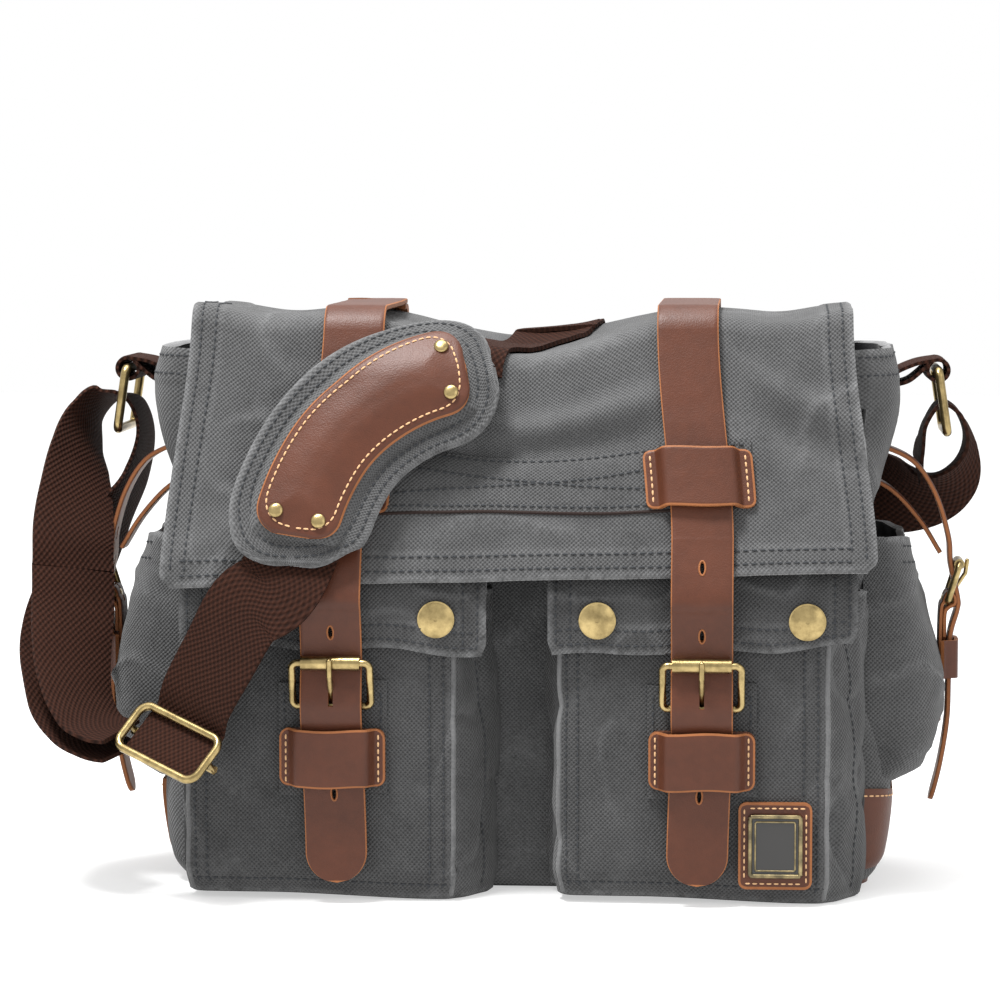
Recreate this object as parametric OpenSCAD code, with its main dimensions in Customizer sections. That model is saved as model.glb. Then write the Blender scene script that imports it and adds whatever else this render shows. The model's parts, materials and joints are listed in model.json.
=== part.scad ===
// Canvas camera bag: a messenger bag with a strapped flap, two front pockets, two side pockets,
// a padded camera insert and a draped shoulder strap. Front faces -Y, +X is right, Z is up.

/* [Body] */
// Width of the main compartment
body_w = 294; // [280:1:300]
// Depth of the main compartment
body_d = 100; // [96:1:104]
// Height of the main compartment
body_h = 240; // [236:1:241]
// Thickness of the lined canvas wall
wall = 3; // [2:0.5:4]

/* [Flap] */
// Height of the flap's hinge and fold line
flap_z = 247; // [246:0.5:249]
// How far the front panel reaches down along its own slope
flap_drop = 116; // [110:1:118]
// Thickness of the flap
flap_t = 3; // [2.5:0.1:3]
// Distance of each leather strap from the middle
strap_x = 78; // [76:1:80]
// Width of the leather straps
strap_w = 26; // [24:1:26]
// Thickness of the strap leather
leather_t = 2.5; // [2:0.1:2.5]

/* [Pockets] */
// Height of the front pockets' rim
pocket_rim_z = 132; // [126:1:132]
// Depth of the front pockets
pocket_d = 32; // [30:0.5:32]
// Width of a front pocket's face
pocket_w = 120; // [112:1:122]

/* [Shoulder strap] */
// Width of the webbing
web_w = 38; // [34:1:38]
// Thickness of the webbing
web_t = 1.8; // [1.4:0.1:1.8]

/* [Hidden] */

canvas = [0.27, 0.29, 0.31];
leather = [0.36, 0.21, 0.16];
webbing = [0.23, 0.14, 0.11];
brass = [0.62, 0.52, 0.28];
lining = [0.18, 0.18, 0.19];

gap = 0.3;                       // clearance between pieces on different bodies
hinge_y = body_d/2;              // back edge of the flap
fold_y = -54;                    // front edge of the flap's top panel
flap_tilt = 18.6;                // slope of the flap's front panel
flap_top_w = 288;
flap_bottom_w = 306;
body_r = 20;                     // upright corner radius
face_y = -body_d/2 - pocket_d;   // front face of the pockets
strap_y = -(flap_t/2 + 1.7 + leather_t/2);   // strap centre in the flap's own frame

// Outline of a rectangle with round corners, centred on the origin.
function rounded(w, h, r, n = 6) = [
  for (c = [[1, 1, 0], [-1, 1, 90], [-1, -1, 180], [1, -1, 270]]) for (k = [0:n])
    let (a = c[2] + 90*k/n) [c[0]*(w/2 - r) + r*cos(a), c[1]*(h/2 - r) + r*sin(a)]
];

function side_of(a, b) = let (d = (b - a)/norm(b - a)) [-d[1], d[0]];
function miter(p, i) =
  i == 0 ? side_of(p[0], p[1]) :
  i == len(p) - 1 ? side_of(p[i - 1], p[i]) :
  let (a = side_of(p[i - 1], p[i]), b = side_of(p[i], p[i + 1]), m = (a + b)/norm(a + b)) m/(m*a);
// Outline of a strip of thickness t that follows the open path p.
function strip(p, t) = concat(
  [for (i = [0:len(p) - 1]) p[i] + miter(p, i)*t/2],
  [for (i = [len(p) - 1:-1:0]) p[i] - miter(p, i)*t/2]);

// Extrudes a Y-Z outline along X, centred on x.
module along_x(width, x = 0)
  translate([x - width/2, 0, 0]) rotate([90, 0, 90]) linear_extrude(width) children();
// Extrudes an X-Z outline along Y, centred on y.
module along_y(width, y = 0)
  translate([0, y + width/2, 0]) rotate([90, 0, 0]) linear_extrude(width) children();
// A rod of radius r between two points, with round ends.
module rod(a, b, r) {
  d = b - a;
  translate(a) rotate([0, acos(d[2]/norm(d)), atan2(d[1], d[0])]) cylinder(h = norm(d), r = r, $fn = 32);
  translate(a) sphere(r, $fn = 32);
  translate(b) sphere(r, $fn = 32);
}
// A rectangular ring of round wire in the X-Y plane, w by h between wire centres, corner radius c.
module wire_ring(w, h, c, r) for (q = [[1, 1, 0], [-1, 1, 90], [-1, -1, 180], [1, -1, 270]]) {
  flat = (q[2] == 0 || q[2] == 180) ? w - 2*c : h - 2*c;
  translate([q[0]*(w/2 - c), q[1]*(h/2 - c), 0]) rotate([0, 0, q[2]]) {
    rotate_extrude(angle = 90, $fn = 48) translate([c, 0]) circle(r, $fn = 32);
    translate([0, c, 0]) rotate([0, -90, 0]) cylinder(h = flat, r = r, $fn = 32);
  }
}
// Turns local X, Y, Z onto the directions u, v and w and moves the origin to p.
module placed(p, u, v, w) multmatrix([
  [u[0], v[0], w[0], p[0]], [u[1], v[1], w[1], p[1]], [u[2], v[2], w[2], p[2]], [0, 0, 0, 1]]) children();
// The flap's front panel frame: Z runs up the panel to the fold, -Y points outwards.
module on_flap() translate([0, fold_y, flap_z]) rotate([-flap_tilt, 0, 0]) children();

// ---------- webbing ribbons ----------
function unit(v) = v/norm(v);
function mix3(a, b, t) = a + (b - a)*t;
function curve3(p, i, t) = let (
    a = p[max(i - 1, 0)], b = p[i], c = p[i + 1], d = p[min(i + 2, len(p) - 1)])
  0.5*(2*b + (c - a)*t + (2*a - 5*b + 4*c - d)*t*t + (3*b - a - 3*c + d)*t*t*t);
// Points along a smooth curve through p, with n steps between neighbours.
function smooth(p, n) = concat(
  [for (i = [0:len(p) - 2]) for (k = [0:n - 1]) curve3(p, i, k/n)], [p[len(p) - 1]]);
// A flat ribbon through the points, whose width runs along the matching directions.
module ribbon(points, widths, w, t, steps = 3) {
  c = smooth(points, steps);
  s = smooth(widths, steps);
  n = len(c);
  rings = [for (i = [0:n - 1]) let (
      d = unit(c[min(i + 1, n - 1)] - c[max(i - 1, 0)]),
      u = unit(s[i] - d*(s[i]*d)),
      v = cross(d, u))
    [c[i] + u*w/2 + v*t/2, c[i] - u*w/2 + v*t/2, c[i] - u*w/2 - v*t/2, c[i] + u*w/2 - v*t/2]];
  points_flat = [for (r = rings) for (q = r) q];
  faces = concat([[0, 1, 2, 3]], [[4*n - 1, 4*n - 2, 4*n - 3, 4*n - 4]],
    [for (i = [0:n - 2]) for (k = [0:3]) let (k2 = (k + 1)%4)
      each [[4*i + k, 4*(i + 1) + k, 4*(i + 1) + k2], [4*i + k, 4*(i + 1) + k2, 4*i + k2]]]);
  polyhedron(points_flat, faces);
}

// ---------- main compartment ----------
module body_shell() color(canvas) {
  difference() {
    linear_extrude(body_h) polygon(rounded(body_w, body_d, body_r));
    translate([0, 0, wall]) linear_extrude(body_h)
      polygon(rounded(body_w - 2*wall, body_d - 2*wall, body_r - wall));
  }
  translate([-130, hinge_y - wall, body_h]) cube([260, wall, flap_z - flap_t/2 - gap - body_h]);
}
module leather_corners() color(leather) translate([0, 0, 1]) linear_extrude(46) difference() {
  polygon(rounded(body_w + 5, body_d + 5, body_r + 2));
  polygon(rounded(body_w, body_d, body_r));
  square([2*136, 200], center = true);
  translate([0, -60]) square([400, 24], center = true);
}
insert_w = body_w - 2*wall - 4;
insert_d = body_d - 2*wall - 4;
insert_h = 178;
insert_t = 8;
module camera_insert() color(lining) translate([0, 0, wall + gap]) difference() {
  linear_extrude(insert_h) polygon(rounded(insert_w, insert_d, 14));
  translate([0, 0, insert_t]) linear_extrude(insert_h)
    polygon(rounded(insert_w - 2*insert_t, insert_d - 2*insert_t, 7));
}
divider_d = insert_d - 2*insert_t - 1;
module divider(x) color(lining) translate([x - 4, -divider_d/2, wall + insert_t + 2*gap])
  cube([8, divider_d, insert_h - insert_t - 12]);
module strap_anchors() color(leather) for (s = [-1, 1])
  translate([s*strap_x - strap_w/2, hinge_y, 196]) cube([strap_w, leather_t, 46]);

// ---------- front pockets ----------
function pocket_outline(inset) = let (f = pocket_w/2 - inset, b = pocket_w/2 + 6 - inset)
  [[-b, -body_d/2], [b, -body_d/2], [f, face_y + inset], [-f, face_y + inset]];
module pocket(s) color(canvas) translate([s*strap_x, 0, 4]) difference() {
  linear_extrude(pocket_rim_z - 4) polygon(pocket_outline(0));
  translate([0, 0, 2.5]) linear_extrude(pocket_rim_z) polygon(pocket_outline(2.5));
}
pocket_hinge = [-52.2, 150];
lip_y = face_y - 4.2;
module pocket_flap(s) color(canvas) {
  along_x(pocket_w + 10, s*strap_x)
    polygon(strip([pocket_hinge, [-70, 146.5], [-84, 139.5], [lip_y, 134], [lip_y, 108]], 2.2));
}
snap_x = 44;
snap_z = 121;
snap_r = 7.8;
module snap_caps(s) color(brass) for (k = [-1, 1])
  translate([s*strap_x + k*snap_x, lip_y - 1.1, snap_z]) rotate([90, 0, 0]) {
  cylinder(h = 1.2, r = snap_r, $fn = 48);
  translate([0, 0, 1.2]) intersection() {
    translate([0, 0, -12]) sphere(14, $fn = 64);
    cylinder(h = 4, r = snap_r - 0.6, $fn = 48);
  }
}
module snap_studs() color(brass) for (s = [-1, 1]) for (k = [-1, 1])
  translate([s*strap_x + k*snap_x, face_y, snap_z]) rotate([90, 0, 0]) {
    cylinder(h = 0.8, r = 6, $fn = 48);
    cylinder(h = 2.2, r = 3.6, $fn = 48);
  }
patch_z = 46;
patch_h = 47;
magnet_z = 62;
magnet_r = 7;
module buckle_patches() color(canvas) for (s = [-1, 1]) difference() {
  translate([s*strap_x - 22, face_y - 1, patch_z]) cube([44, 1, patch_h]);
  translate([s*strap_x, face_y + 1, magnet_z]) rotate([90, 0, 0]) cylinder(h = 4, r = magnet_r, $fn = 48);
}
module pocket_magnets() color(brass) for (s = [-1, 1])
  translate([s*strap_x, face_y, magnet_z]) rotate([90, 0, 0]) cylinder(h = 1, r = magnet_r, $fn = 48);
badge = [109, 26];
module badge_patch() color(leather) translate([badge[0], face_y, badge[1]]) rotate([90, 0, 0])
  linear_extrude(2) polygon(rounded(30, 36, 3));
module badge_plate() color(brass) translate([badge[0], face_y - 2, badge[1]]) rotate([90, 0, 0]) {
  linear_extrude(0.8) polygon(rounded(23, 27, 1));
  linear_extrude(1.3) difference() {
    polygon(rounded(23, 27, 1));
    polygon(rounded(21, 25, 0.6));
  }
}

// ---------- side pockets and their belts (right side, mirrored for the left) ----------
side_x = body_w/2;
module right_side(s) if (s > 0) children(); else mirror([1, 0, 0]) children();
module side_pocket(s) color(canvas) right_side(s) difference() {
  along_y(84) polygon([[side_x, 49], [168, 49], [180, 66], [180, 84], [172, 125], [162, 152], [side_x, 152]]);
  along_y(79) polygon([[side_x - 1, 52], [167, 52], [177.2, 67], [177.2, 84], [169.3, 124],
    [158, 154.5], [side_x - 1, 154.5]]);
}
belt_w = 15;
belt_t = 2;
heel_x = 184.2;
heel_z = 122;
side_bar_x = 189.2;
side_bar_z = 138;
module side_straps() color(leather) for (s = [-1, 1]) right_side(s) difference() {
  union() {
    along_y(belt_w) polygon(strip([[148, 186], [158, 188.5],
      [170, 182], [179, 168], [184.5, 150], [185.4, 138],
      [188.8, 123], [188.6, 118], [185.4, 106], [185.1, 88], [184.4, 70], [181.6, 50], [177.5, 33]], belt_t));
    along_y(belt_w) polygon(strip([[148, 177], [160, 170], [172, 157], [180.5, 143]], belt_t));
    translate([side_x, -belt_w/2, 174]) cube([2, belt_w, 14]);
  }
  translate([178, -1.4, 123.8]) cube([16, 2.8, 9]);
  translate([176, -1, 58]) cube([16, 2, 4]);
}
module side_tabs() color(leather) for (s = [-1, 1]) right_side(s) {
  difference() {
    union() {
      translate([180, -9, 70]) cube([1.8, 18, 48]);
      translate([180, -belt_w/2 + 1, 118]) cube([1.8, belt_w - 2, 4]);
      translate([heel_x, belt_w/2 - 1, heel_z]) rotate([90, 0, 0])
        cylinder(h = belt_w - 2, r = 3.3, $fn = 48);
    }
    translate([heel_x, 20, heel_z]) rotate([90, 0, 0]) cylinder(h = 40, r = 1.5, $fn = 48);
    translate([180, -1.9, 117]) cube([12, 3.8, 10]);
  }
  translate([0, 0, 88]) linear_extrude(17) polygon(strip(
    [[182.8, -13], [182.8, -10.5], [188.2, -9], [188.2, 9], [182.8, 10.5], [182.8, 13]], 1.6));
  translate([180, -13, 88]) cube([1.8, 4, 17]);
  translate([180, 9, 88]) cube([1.8, 4, 17]);
}
side_up = unit([side_bar_x - heel_x, 0, side_bar_z - heel_z]);
side_mid = [(side_bar_x + heel_x)/2, 0, (side_bar_z + heel_z)/2];
module side_frames() color(brass) for (s = [-1, 1]) right_side(s)
  placed(side_mid, [0, 1, 0], side_up, cross([0, 1, 0], side_up))
    wire_ring(21, norm([side_bar_x - heel_x, side_bar_z - heel_z]), 2.4, 1.4);
module side_roller(s) color(brass)
  right_side(s) translate([side_bar_x, 8, side_bar_z]) rotate([90, 0, 0]) difference() {
  cylinder(h = 16, r = 2.3, $fn = 48);
  translate([0, 0, -1]) cylinder(h = 18, r = 1.46, $fn = 48);
}
module side_prong(s) color(brass) right_side(s) difference() {
  union() {
    translate([heel_x, 1.2, heel_z]) rotate([90, 0, 0]) cylinder(h = 2.4, r = 2.6, $fn = 32);
    rod([heel_x + 1.4, 0, heel_z + 1.4], [side_bar_x + 3, 0, side_bar_z - 4.5], 0.95);
    rod([side_bar_x + 3, 0, side_bar_z - 4.5], [side_bar_x + 3.8, 0, side_bar_z + 1], 0.95);
  }
  translate([heel_x, 4, heel_z]) rotate([90, 0, 0]) cylinder(h = 8, r = 1.46, $fn = 48);
}

// ---------- back pocket with its zip ----------
zip_z = 135;
zip_x = -104;
module back_pocket() color(canvas) difference() {
  translate([-118, hinge_y, 18]) cube([236, 5, 110]);
  translate([-116, hinge_y - 1, 20]) cube([232, 4.4, 120]);
}
module zip_tape() color(lining) difference() {
  translate([-118, hinge_y, zip_z - 7]) cube([236, 1.6, 14]);
  translate([zip_x - 4, hinge_y - 1, zip_z - 1.2]) cube([220, 4, 2.4]);
}
module zip_slider() color(brass) {
  translate([zip_x - 5, hinge_y + 1.9, zip_z - 4]) cube([10, 2.2, 8]);
  for (k = [-1, 1]) translate([zip_x + k*3 - 0.6, hinge_y + 4.1, zip_z - 1.6]) cube([1.2, 3, 3.2]);
  translate([zip_x - 3, hinge_y + 6, zip_z]) rotate([0, 90, 0]) cylinder(h = 6, r = 0.7, $fn = 32);
}
module zip_pull() color(brass) translate([zip_x, hinge_y + 6, zip_z]) difference() {
  union() {
    rotate([0, 90, 0]) translate([0, 0, -1.8]) cylinder(h = 3.6, r = 1.4, $fn = 32);
    translate([-1.8, 0.1, -22]) cube([3.6, 1.2, 22]);
    translate([-3.5, 0.1, -26]) cube([7, 1.2, 12]);
  }
  rotate([0, 90, 0]) translate([0, 0, -4]) cylinder(h = 8, r = 0.76, $fn = 32);
}

// ---------- rings and their webbing tabs ----------
ring_y = 27;
ring_top = [180, 222];
ring_low = [184, 195];
module ring_tabs() color(webbing) for (s = [-1, 1]) right_side(s) along_y(web_w, ring_y) difference() {
  union() {
    polygon(strip([[side_x + 2, 190], [side_x + 2, 211], [157, 219], [175, 222.4]], 4));
    translate(ring_top) circle(5.8, $fn = 48);
  }
  translate(ring_top) circle(3.6, $fn = 48);
}
ring_up = unit([ring_top[0] - ring_low[0], 0, ring_top[1] - ring_low[1]]);
ring_mid = [(ring_top[0] + ring_low[0])/2, ring_y, (ring_top[1] + ring_low[1])/2];
module ring(s) color(brass) right_side(s) placed(ring_mid, [0, 1, 0], ring_up, cross([0, 1, 0], ring_up))
  wire_ring(45, norm(ring_top - ring_low), 3, 2);

// ---------- flap ----------
module flap_top() color(canvas) {
  translate([-flap_top_w/2, fold_y + 2, flap_z - flap_t/2]) cube([flap_top_w, hinge_y - fold_y - 2, flap_t]);
  translate([-flap_top_w/2, hinge_y, flap_z]) rotate([0, 90, 0])
    cylinder(h = flap_top_w, r = flap_t/2, $fn = 32);
}
module flap_front() color(canvas) on_flap() {
  r = 8;
  b = flap_bottom_w/2;
  along_y(flap_t) polygon(concat([[-flap_top_w/2, -1], [-b, -flap_drop + r]],
    [for (a = [195:15:270]) [-b + r + r*cos(a), -flap_drop + r + r*sin(a)]],
    [for (a = [270:15:345]) [b - r + r*cos(a), -flap_drop + r + r*sin(a)]],
    [[b, -flap_drop + r], [flap_top_w/2, -1]]));
  translate([-flap_top_w/2, 0, 0]) rotate([0, 90, 0]) cylinder(h = flap_top_w, r = flap_t/2, $fn = 32);
}
band = [-92, -60];
module flap_band() color(canvas)
  on_flap() translate([-100, -flap_t/2 - 1.2, band[0]]) cube([200, 1.2, band[1] - band[0]]);
module flap_loops() color(leather) on_flap() for (s = [-1, 1]) translate([s*strap_x, 0, -86])
  linear_extrude(27) polygon(strip([
    [-23, -3.8], [-17, -3.8], [-14.8, -7.4], [14.8, -7.4], [17, -3.8], [23, -3.8]], 2));
module strap_top(s) color(leather) translate([s*strap_x - strap_w/2, fold_y + 3, flap_z + flap_t/2 + 0.2])
  cube([strap_w, hinge_y - fold_y - 4, leather_t]);

// ---------- leather straps, buckles and quick-release tabs ----------
bar_y = face_y - 5.6;            // heel bar of a main buckle
bar_z = 84;
top_y = face_y - 12.6;           // roller bar
top_z = 103;
tip_z = 8;
c_t = cos(flap_tilt);
s_t = sin(flap_tilt);
// A point on the flap's slope, s below the fold and at height o above its middle plane, as [y, z].
function on_slope(s, o) = [fold_y - s*s_t - o*c_t, flap_z - s*c_t + o*s_t];
strap_path = [on_slope(2, -strap_y), on_slope(116, -strap_y), on_slope(120, -strap_y),
  [-96.2, 127], [-92, 114],
  [-90, 103], [-93.3, 85], [-92.6, 80], [-89.2, 73], [-88, 66], [-87.8, 50], [-87.4, tip_z]];
module strap_front(s) color(leather) difference() {
  intersection() {
    along_x(strap_w, s*strap_x) polygon(strip(strap_path, leather_t));
    along_y(400) union() {
      translate([s*strap_x, tip_z + strap_w/2]) circle(strap_w/2, $fn = 64);
      translate([s*strap_x - strap_w, tip_z + strap_w/2]) square([2*strap_w, 300]);
    }
  }
  translate([s*strap_x - 1.9, -110, 85]) cube([3.8, 40, 10]);
  for (z = [47, 116, 144]) translate([s*strap_x - 1.3, -110, z - 3]) cube([2.6, 40, 6]);
}
tab_y = face_y - 1 - gap;
module buckle_tab(s) color(leather) translate([s*strap_x, 0, 0]) {
  difference() {
    union() {
      translate([-22, tab_y - 2, 50]) cube([44, 2, 24]);
      translate([-11, tab_y - 2, 74]) cube([22, 2, bar_z - 74]);
      translate([-11, bar_y, bar_z]) rotate([0, 90, 0]) cylinder(h = 22, r = 3.7, $fn = 48);
    }
    translate([-20, bar_y, bar_z]) rotate([0, 90, 0]) cylinder(h = 40, r = 1.7, $fn = 48);
    translate([-2.3, tab_y - 12, bar_z - 5]) cube([4.6, 12, 10]);
    translate([0, tab_y + 1, magnet_z]) rotate([90, 0, 0]) cylinder(h = 2.1, r = magnet_r, $fn = 48);
  }
  translate([0, 0, 50]) linear_extrude(24) polygon(strip(
    [[-22, -86.2], [-17.5, -86.2], [-15.2, -92.4], [15.2, -92.4], [17.5, -86.2], [22, -86.2]], 1.8));
}
module tab_magnets() color(brass) for (s = [-1, 1])
  translate([s*strap_x, tab_y, magnet_z]) rotate([90, 0, 0]) cylinder(h = 1.1, r = magnet_r, $fn = 48);
bar_up = unit([0, top_y - bar_y, top_z - bar_z]);
bar_mid = [0, (top_y + bar_y)/2, (top_z + bar_z)/2];
module buckle_frame(s) color(brass) translate([s*strap_x, 0, 0])
  placed(bar_mid, [1, 0, 0], bar_up, cross([1, 0, 0], bar_up))
    wire_ring(33, norm([top_y - bar_y, top_z - bar_z]), 2.6, 1.6);
module roller(s) color(brass) translate([s*strap_x - 12.4, top_y, top_z]) rotate([0, 90, 0]) difference() {
  cylinder(h = 24.8, r = 3, $fn = 48);
  translate([0, 0, -1]) cylinder(h = 27, r = 1.68, $fn = 48);
}
module prong(s) color(brass) translate([s*strap_x, 0, 0]) difference() {
  union() {
    translate([-1.5, bar_y, bar_z]) rotate([0, 90, 0]) cylinder(h = 3, r = 2.9, $fn = 32);
    rod([0, bar_y - 1.7, bar_z + 1.6], [0, top_y - 4, top_z - 5], 1.2);
    rod([0, top_y - 4, top_z - 5], [0, top_y - 4.8, top_z + 1.2], 1.2);
  }
  translate([-4, bar_y, bar_z]) rotate([0, 90, 0]) cylinder(h = 8, r = 1.66, $fn = 48);
}

// ---------- shoulder pad and strap ----------
pad_back = -10.9;
pad_t = 9;
// Middle line of the bent pad, in the flap's own X and Z.
pad_line = smooth([[-85, -101], [-88, -84], [-82, -65], [-69, -49], [-51, -38], [-29, -32], [-15, -31]], 4);
// Half width that closes to a round end at both ends; e is how long the round ends are.
function closing(k, n, half, e) = let (m = min(k, n - 1 - k))
  half*(m >= e ? 1 : sqrt(1 - pow(1 - (m + 0.3)/(e + 0.3), 2)));
module pad_shape(line, half, e) {
  n = len(line);
  side = [for (i = [0:n - 1]) miter(line, i)*closing(i, n, half, e)];
  polygon(concat([for (i = [0:n - 1]) line[i] + side[i]], [for (i = [n - 1:-1:0]) line[i] - side[i]]));
}
module on_pad(y, t) on_flap() translate([0, y, 0]) rotate([90, 0, 0]) linear_extrude(t) children();
leather_line = [for (i = [3:len(pad_line) - 4]) pad_line[i]];
module shoulder_pad() color(canvas) on_pad(pad_back, pad_t) pad_shape(pad_line, 30.5, 5);
module pad_leather() color(leather) on_pad(pad_back - pad_t, 1.8) pad_shape(leather_line, 18, 4);
module pad_rivets() color(brass) for (i = [2, len(leather_line) - 3]) for (k = [-1, 1])
  on_pad(pad_back - pad_t - 1.8, 1) translate(leather_line[i] + miter(leather_line, i)*11*k)
    circle(3.2, $fn = 32);

slider_at = [-145.3, -97, 67.5];
slider_side = unit([0.80, -0.52, -0.28]);
slider_out = unit(cross(slider_side, [-0.53, -0.416, -0.74]));
slider_down = cross(slider_out, slider_side);
module web_front() color(webbing) {
  ribbon([[-100.5, -102.3, 149.5], [-110, -101.8, 132], [-124, -100, 107], [-134, -95.6, 89],
      slider_at - slider_down*14, slider_at - slider_down*7, slider_at + slider_down*9],
    [[0.81, -0.35, -0.46], [0.79, -0.4, -0.45], [0.76, -0.46, -0.44], [0.77, -0.52, -0.37],
      slider_side, slider_side, slider_side],
    web_w, web_t, 2);
  on_pad(pad_back + 1.85, 1.7) polygon(strip([for (i = [1:len(pad_line) - 2]) pad_line[i]], web_w));
}
// Two strands hang between the slider and the left ring as one band through the ring.
loop_path = [[-169, -80, 71], [-176, -78, 71.8], [-184, -72, 75.5], [-190, -65, 83], [-194, -57, 94],
  [-196, -48, 107], [-197, -38, 122], [-198, -31, 136], [-199, -25, 150], [-199.5, -12, 166],
  [-200, 2, 182], [-199, 13, 195.5], [-194.5, 21, 204], [-187, 25.5, 208], [-180, 27, 204],
  [-177, 27.5, 191], [-181, 25, 173], [-188, 18, 156], [-196, 5, 138], [-202, -11, 120],
  [-204, -28, 104], [-202, -43, 90], [-197, -56, 77], [-188, -67, 68], [-178, -74, 63.5],
  [-169, -77, 62]];
loop_side = [[0.15, 0.97, 0.1], [0.17, 0.97, 0.12], [0.25, 0.95, 0.15], [0.38, 0.9, 0.2], [0.52, 0.8, 0.22],
  [0.65, 0.72, 0.2], [0.76, 0.62, 0.17], [0.8, 0.58, 0.15], [0.76, 0.64, 0.1], [0.6, 0.8, 0.08],
  [0.42, 0.9, 0], [0.26, 0.96, -0.2], [0.12, 0.97, -0.22], [0, 1, -0.1], [0, 1, 0], [0.03, 1, 0],
  [0.15, 0.97, 0], [0.3, 0.95, 0], [0.45, 0.88, 0.1], [0.55, 0.8, 0.2], [0.55, 0.78, 0.25],
  [0.45, 0.85, 0.25], [0.33, 0.9, 0.22], [0.25, 0.95, 0.17], [0.18, 0.97, 0.12], [0.15, 0.97, 0.1]];
module web_loop() color(webbing) ribbon(loop_path, loop_side, web_w, web_t, 2);
module web_top() color(webbing) ribbon([[-12, -50, 250.6], [0, 0, 250.6], [10, 47, 250.6]],
  [[1, 0, 0], [1, 0, 0], [1, 0, 0]], web_w, web_t, 1);
back_path = [[14, 55, 240], [24, 60, 224], [44, 66, 203], [78, 71, 184], [116, 72, 172], [148, 67, 165],
  [169, 58, 164], [183, 48, 170], [189.5, 39, 181], [191, 31.5, 193], [187.5, 28, 202.5],
  [181.5, 27, 205], [177.5, 28, 198], [175.5, 31, 187], [174, 36, 177]];
back_side = [[1, 0, 0.4], [0.85, 0, 0.6], [0.65, 0, 0.8], [0.35, 0, 0.95], [0.15, 0.05, 1], [0, 0, 1],
  [-0.15, -0.4, 0.9], [-0.18, -0.72, 0.62], [-0.12, -0.94, 0.3], [0, -1, 0.05], [0, -1, 0],
  [0, -1, 0], [0, -1, 0.05], [0.05, -1, 0.1], [0.1, -1, 0.2]];
module web_back() color(webbing) ribbon(back_path, back_side, web_w, web_t, 2);
module strap_slider() color(brass) placed(slider_at, slider_side, slider_down, slider_out) {
  half = 22.5;
  translate([0, 0, -3.1]) wire_ring(2*half, 22, 5, 1.8);
  for (k = [-1, 1]) translate([k*half, 0, -3.1]) cylinder(h = 6.2, r = 1.4, $fn = 32);
  translate([-half - 1.2, 0, 3.1]) rotate([0, 90, 0]) cylinder(h = 2*half + 2.4, r = 1.8, $fn = 32);
}

body_shell();
leather_corners();
camera_insert();
divider(-46);  // divider_left
divider(46);  // divider_right
pocket(-1);  // left_pocket
pocket(1);  // right_pocket
pocket_flap(-1);  // left_pocket_flap
pocket_flap(1);  // right_pocket_flap
snap_caps(-1);  // left_snap_caps
snap_caps(1);  // right_snap_caps
snap_studs();
buckle_patches();
pocket_magnets();
side_pocket(-1);  // left_side_pocket
side_pocket(1);  // right_side_pocket
side_straps();
side_tabs();
side_frames();
side_roller(-1);  // left_side_roller
side_roller(1);  // right_side_roller
side_prong(-1);  // left_side_prong
side_prong(1);  // right_side_prong
strap_anchors();
back_pocket();
zip_tape();
zip_slider();
zip_pull();
ring_tabs();
ring(-1);  // left_ring
ring(1);  // right_ring
flap_top();
strap_top(-1);  // left_strap_top
strap_top(1);  // right_strap_top
web_top();
flap_front();
flap_band();
flap_loops();
strap_front(-1);  // left_strap_front
strap_front(1);  // right_strap_front
buckle_tab(-1);  // left_buckle_tab
buckle_tab(1);  // right_buckle_tab
tab_magnets();
buckle_frame(-1);  // left_buckle_frame
buckle_frame(1);  // right_buckle_frame
roller(-1);  // left_roller
roller(1);  // right_roller
prong(-1);  // left_prong
prong(1);  // right_prong
badge_patch();
badge_plate();
shoulder_pad();
pad_leather();
pad_rivets();
web_front();
web_loop();
web_back();
strap_slider();
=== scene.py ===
import json
import math

import bpy
import numpy as np
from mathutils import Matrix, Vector, noise


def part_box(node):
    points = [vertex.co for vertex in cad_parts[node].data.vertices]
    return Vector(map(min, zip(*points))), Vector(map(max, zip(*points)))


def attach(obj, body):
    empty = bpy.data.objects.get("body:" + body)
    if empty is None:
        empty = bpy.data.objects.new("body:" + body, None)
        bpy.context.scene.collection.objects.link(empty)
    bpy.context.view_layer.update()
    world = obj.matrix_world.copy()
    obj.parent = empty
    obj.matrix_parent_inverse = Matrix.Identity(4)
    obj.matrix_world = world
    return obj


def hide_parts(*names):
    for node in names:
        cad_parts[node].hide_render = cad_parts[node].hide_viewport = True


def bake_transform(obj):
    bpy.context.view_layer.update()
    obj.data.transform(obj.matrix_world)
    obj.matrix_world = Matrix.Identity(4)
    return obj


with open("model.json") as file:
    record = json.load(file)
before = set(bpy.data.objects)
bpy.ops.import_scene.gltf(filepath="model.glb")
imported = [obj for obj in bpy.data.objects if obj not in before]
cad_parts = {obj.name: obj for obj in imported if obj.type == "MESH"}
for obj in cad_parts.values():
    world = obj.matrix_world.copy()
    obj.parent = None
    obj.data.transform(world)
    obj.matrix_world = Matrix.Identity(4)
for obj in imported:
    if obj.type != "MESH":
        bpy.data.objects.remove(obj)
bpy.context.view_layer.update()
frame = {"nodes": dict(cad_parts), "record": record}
nodes = frame["nodes"]

# --- measures (mm, row frame)
SIDES = ((-1, "left"), (1, "right"))
FRONT, BACK = (0, -1, 0), (0, 1, 0)
HALF_W, HALF_D = 147.0, 50.0        # half the body's width and depth
BODY_LOW, BODY_TOP = 1.8, 231.0
FOLD = np.array([-54.0, 247.0])     # fold line of the flap, as y, z
TILT = math.radians(18.6)           # slope of the flap's front panel
FLAP_L = 218.0                      # flap cloth from back hinge to hem
STRAP_X, STRAP_TOP_X = 78.0, 71.0   # leather straps from the middle, low down and at the hinge
WEB_W = 38.0                        # shoulder webbing
PAD_BASE = 10.6                     # pad's underside over the flap's middle plane


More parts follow.
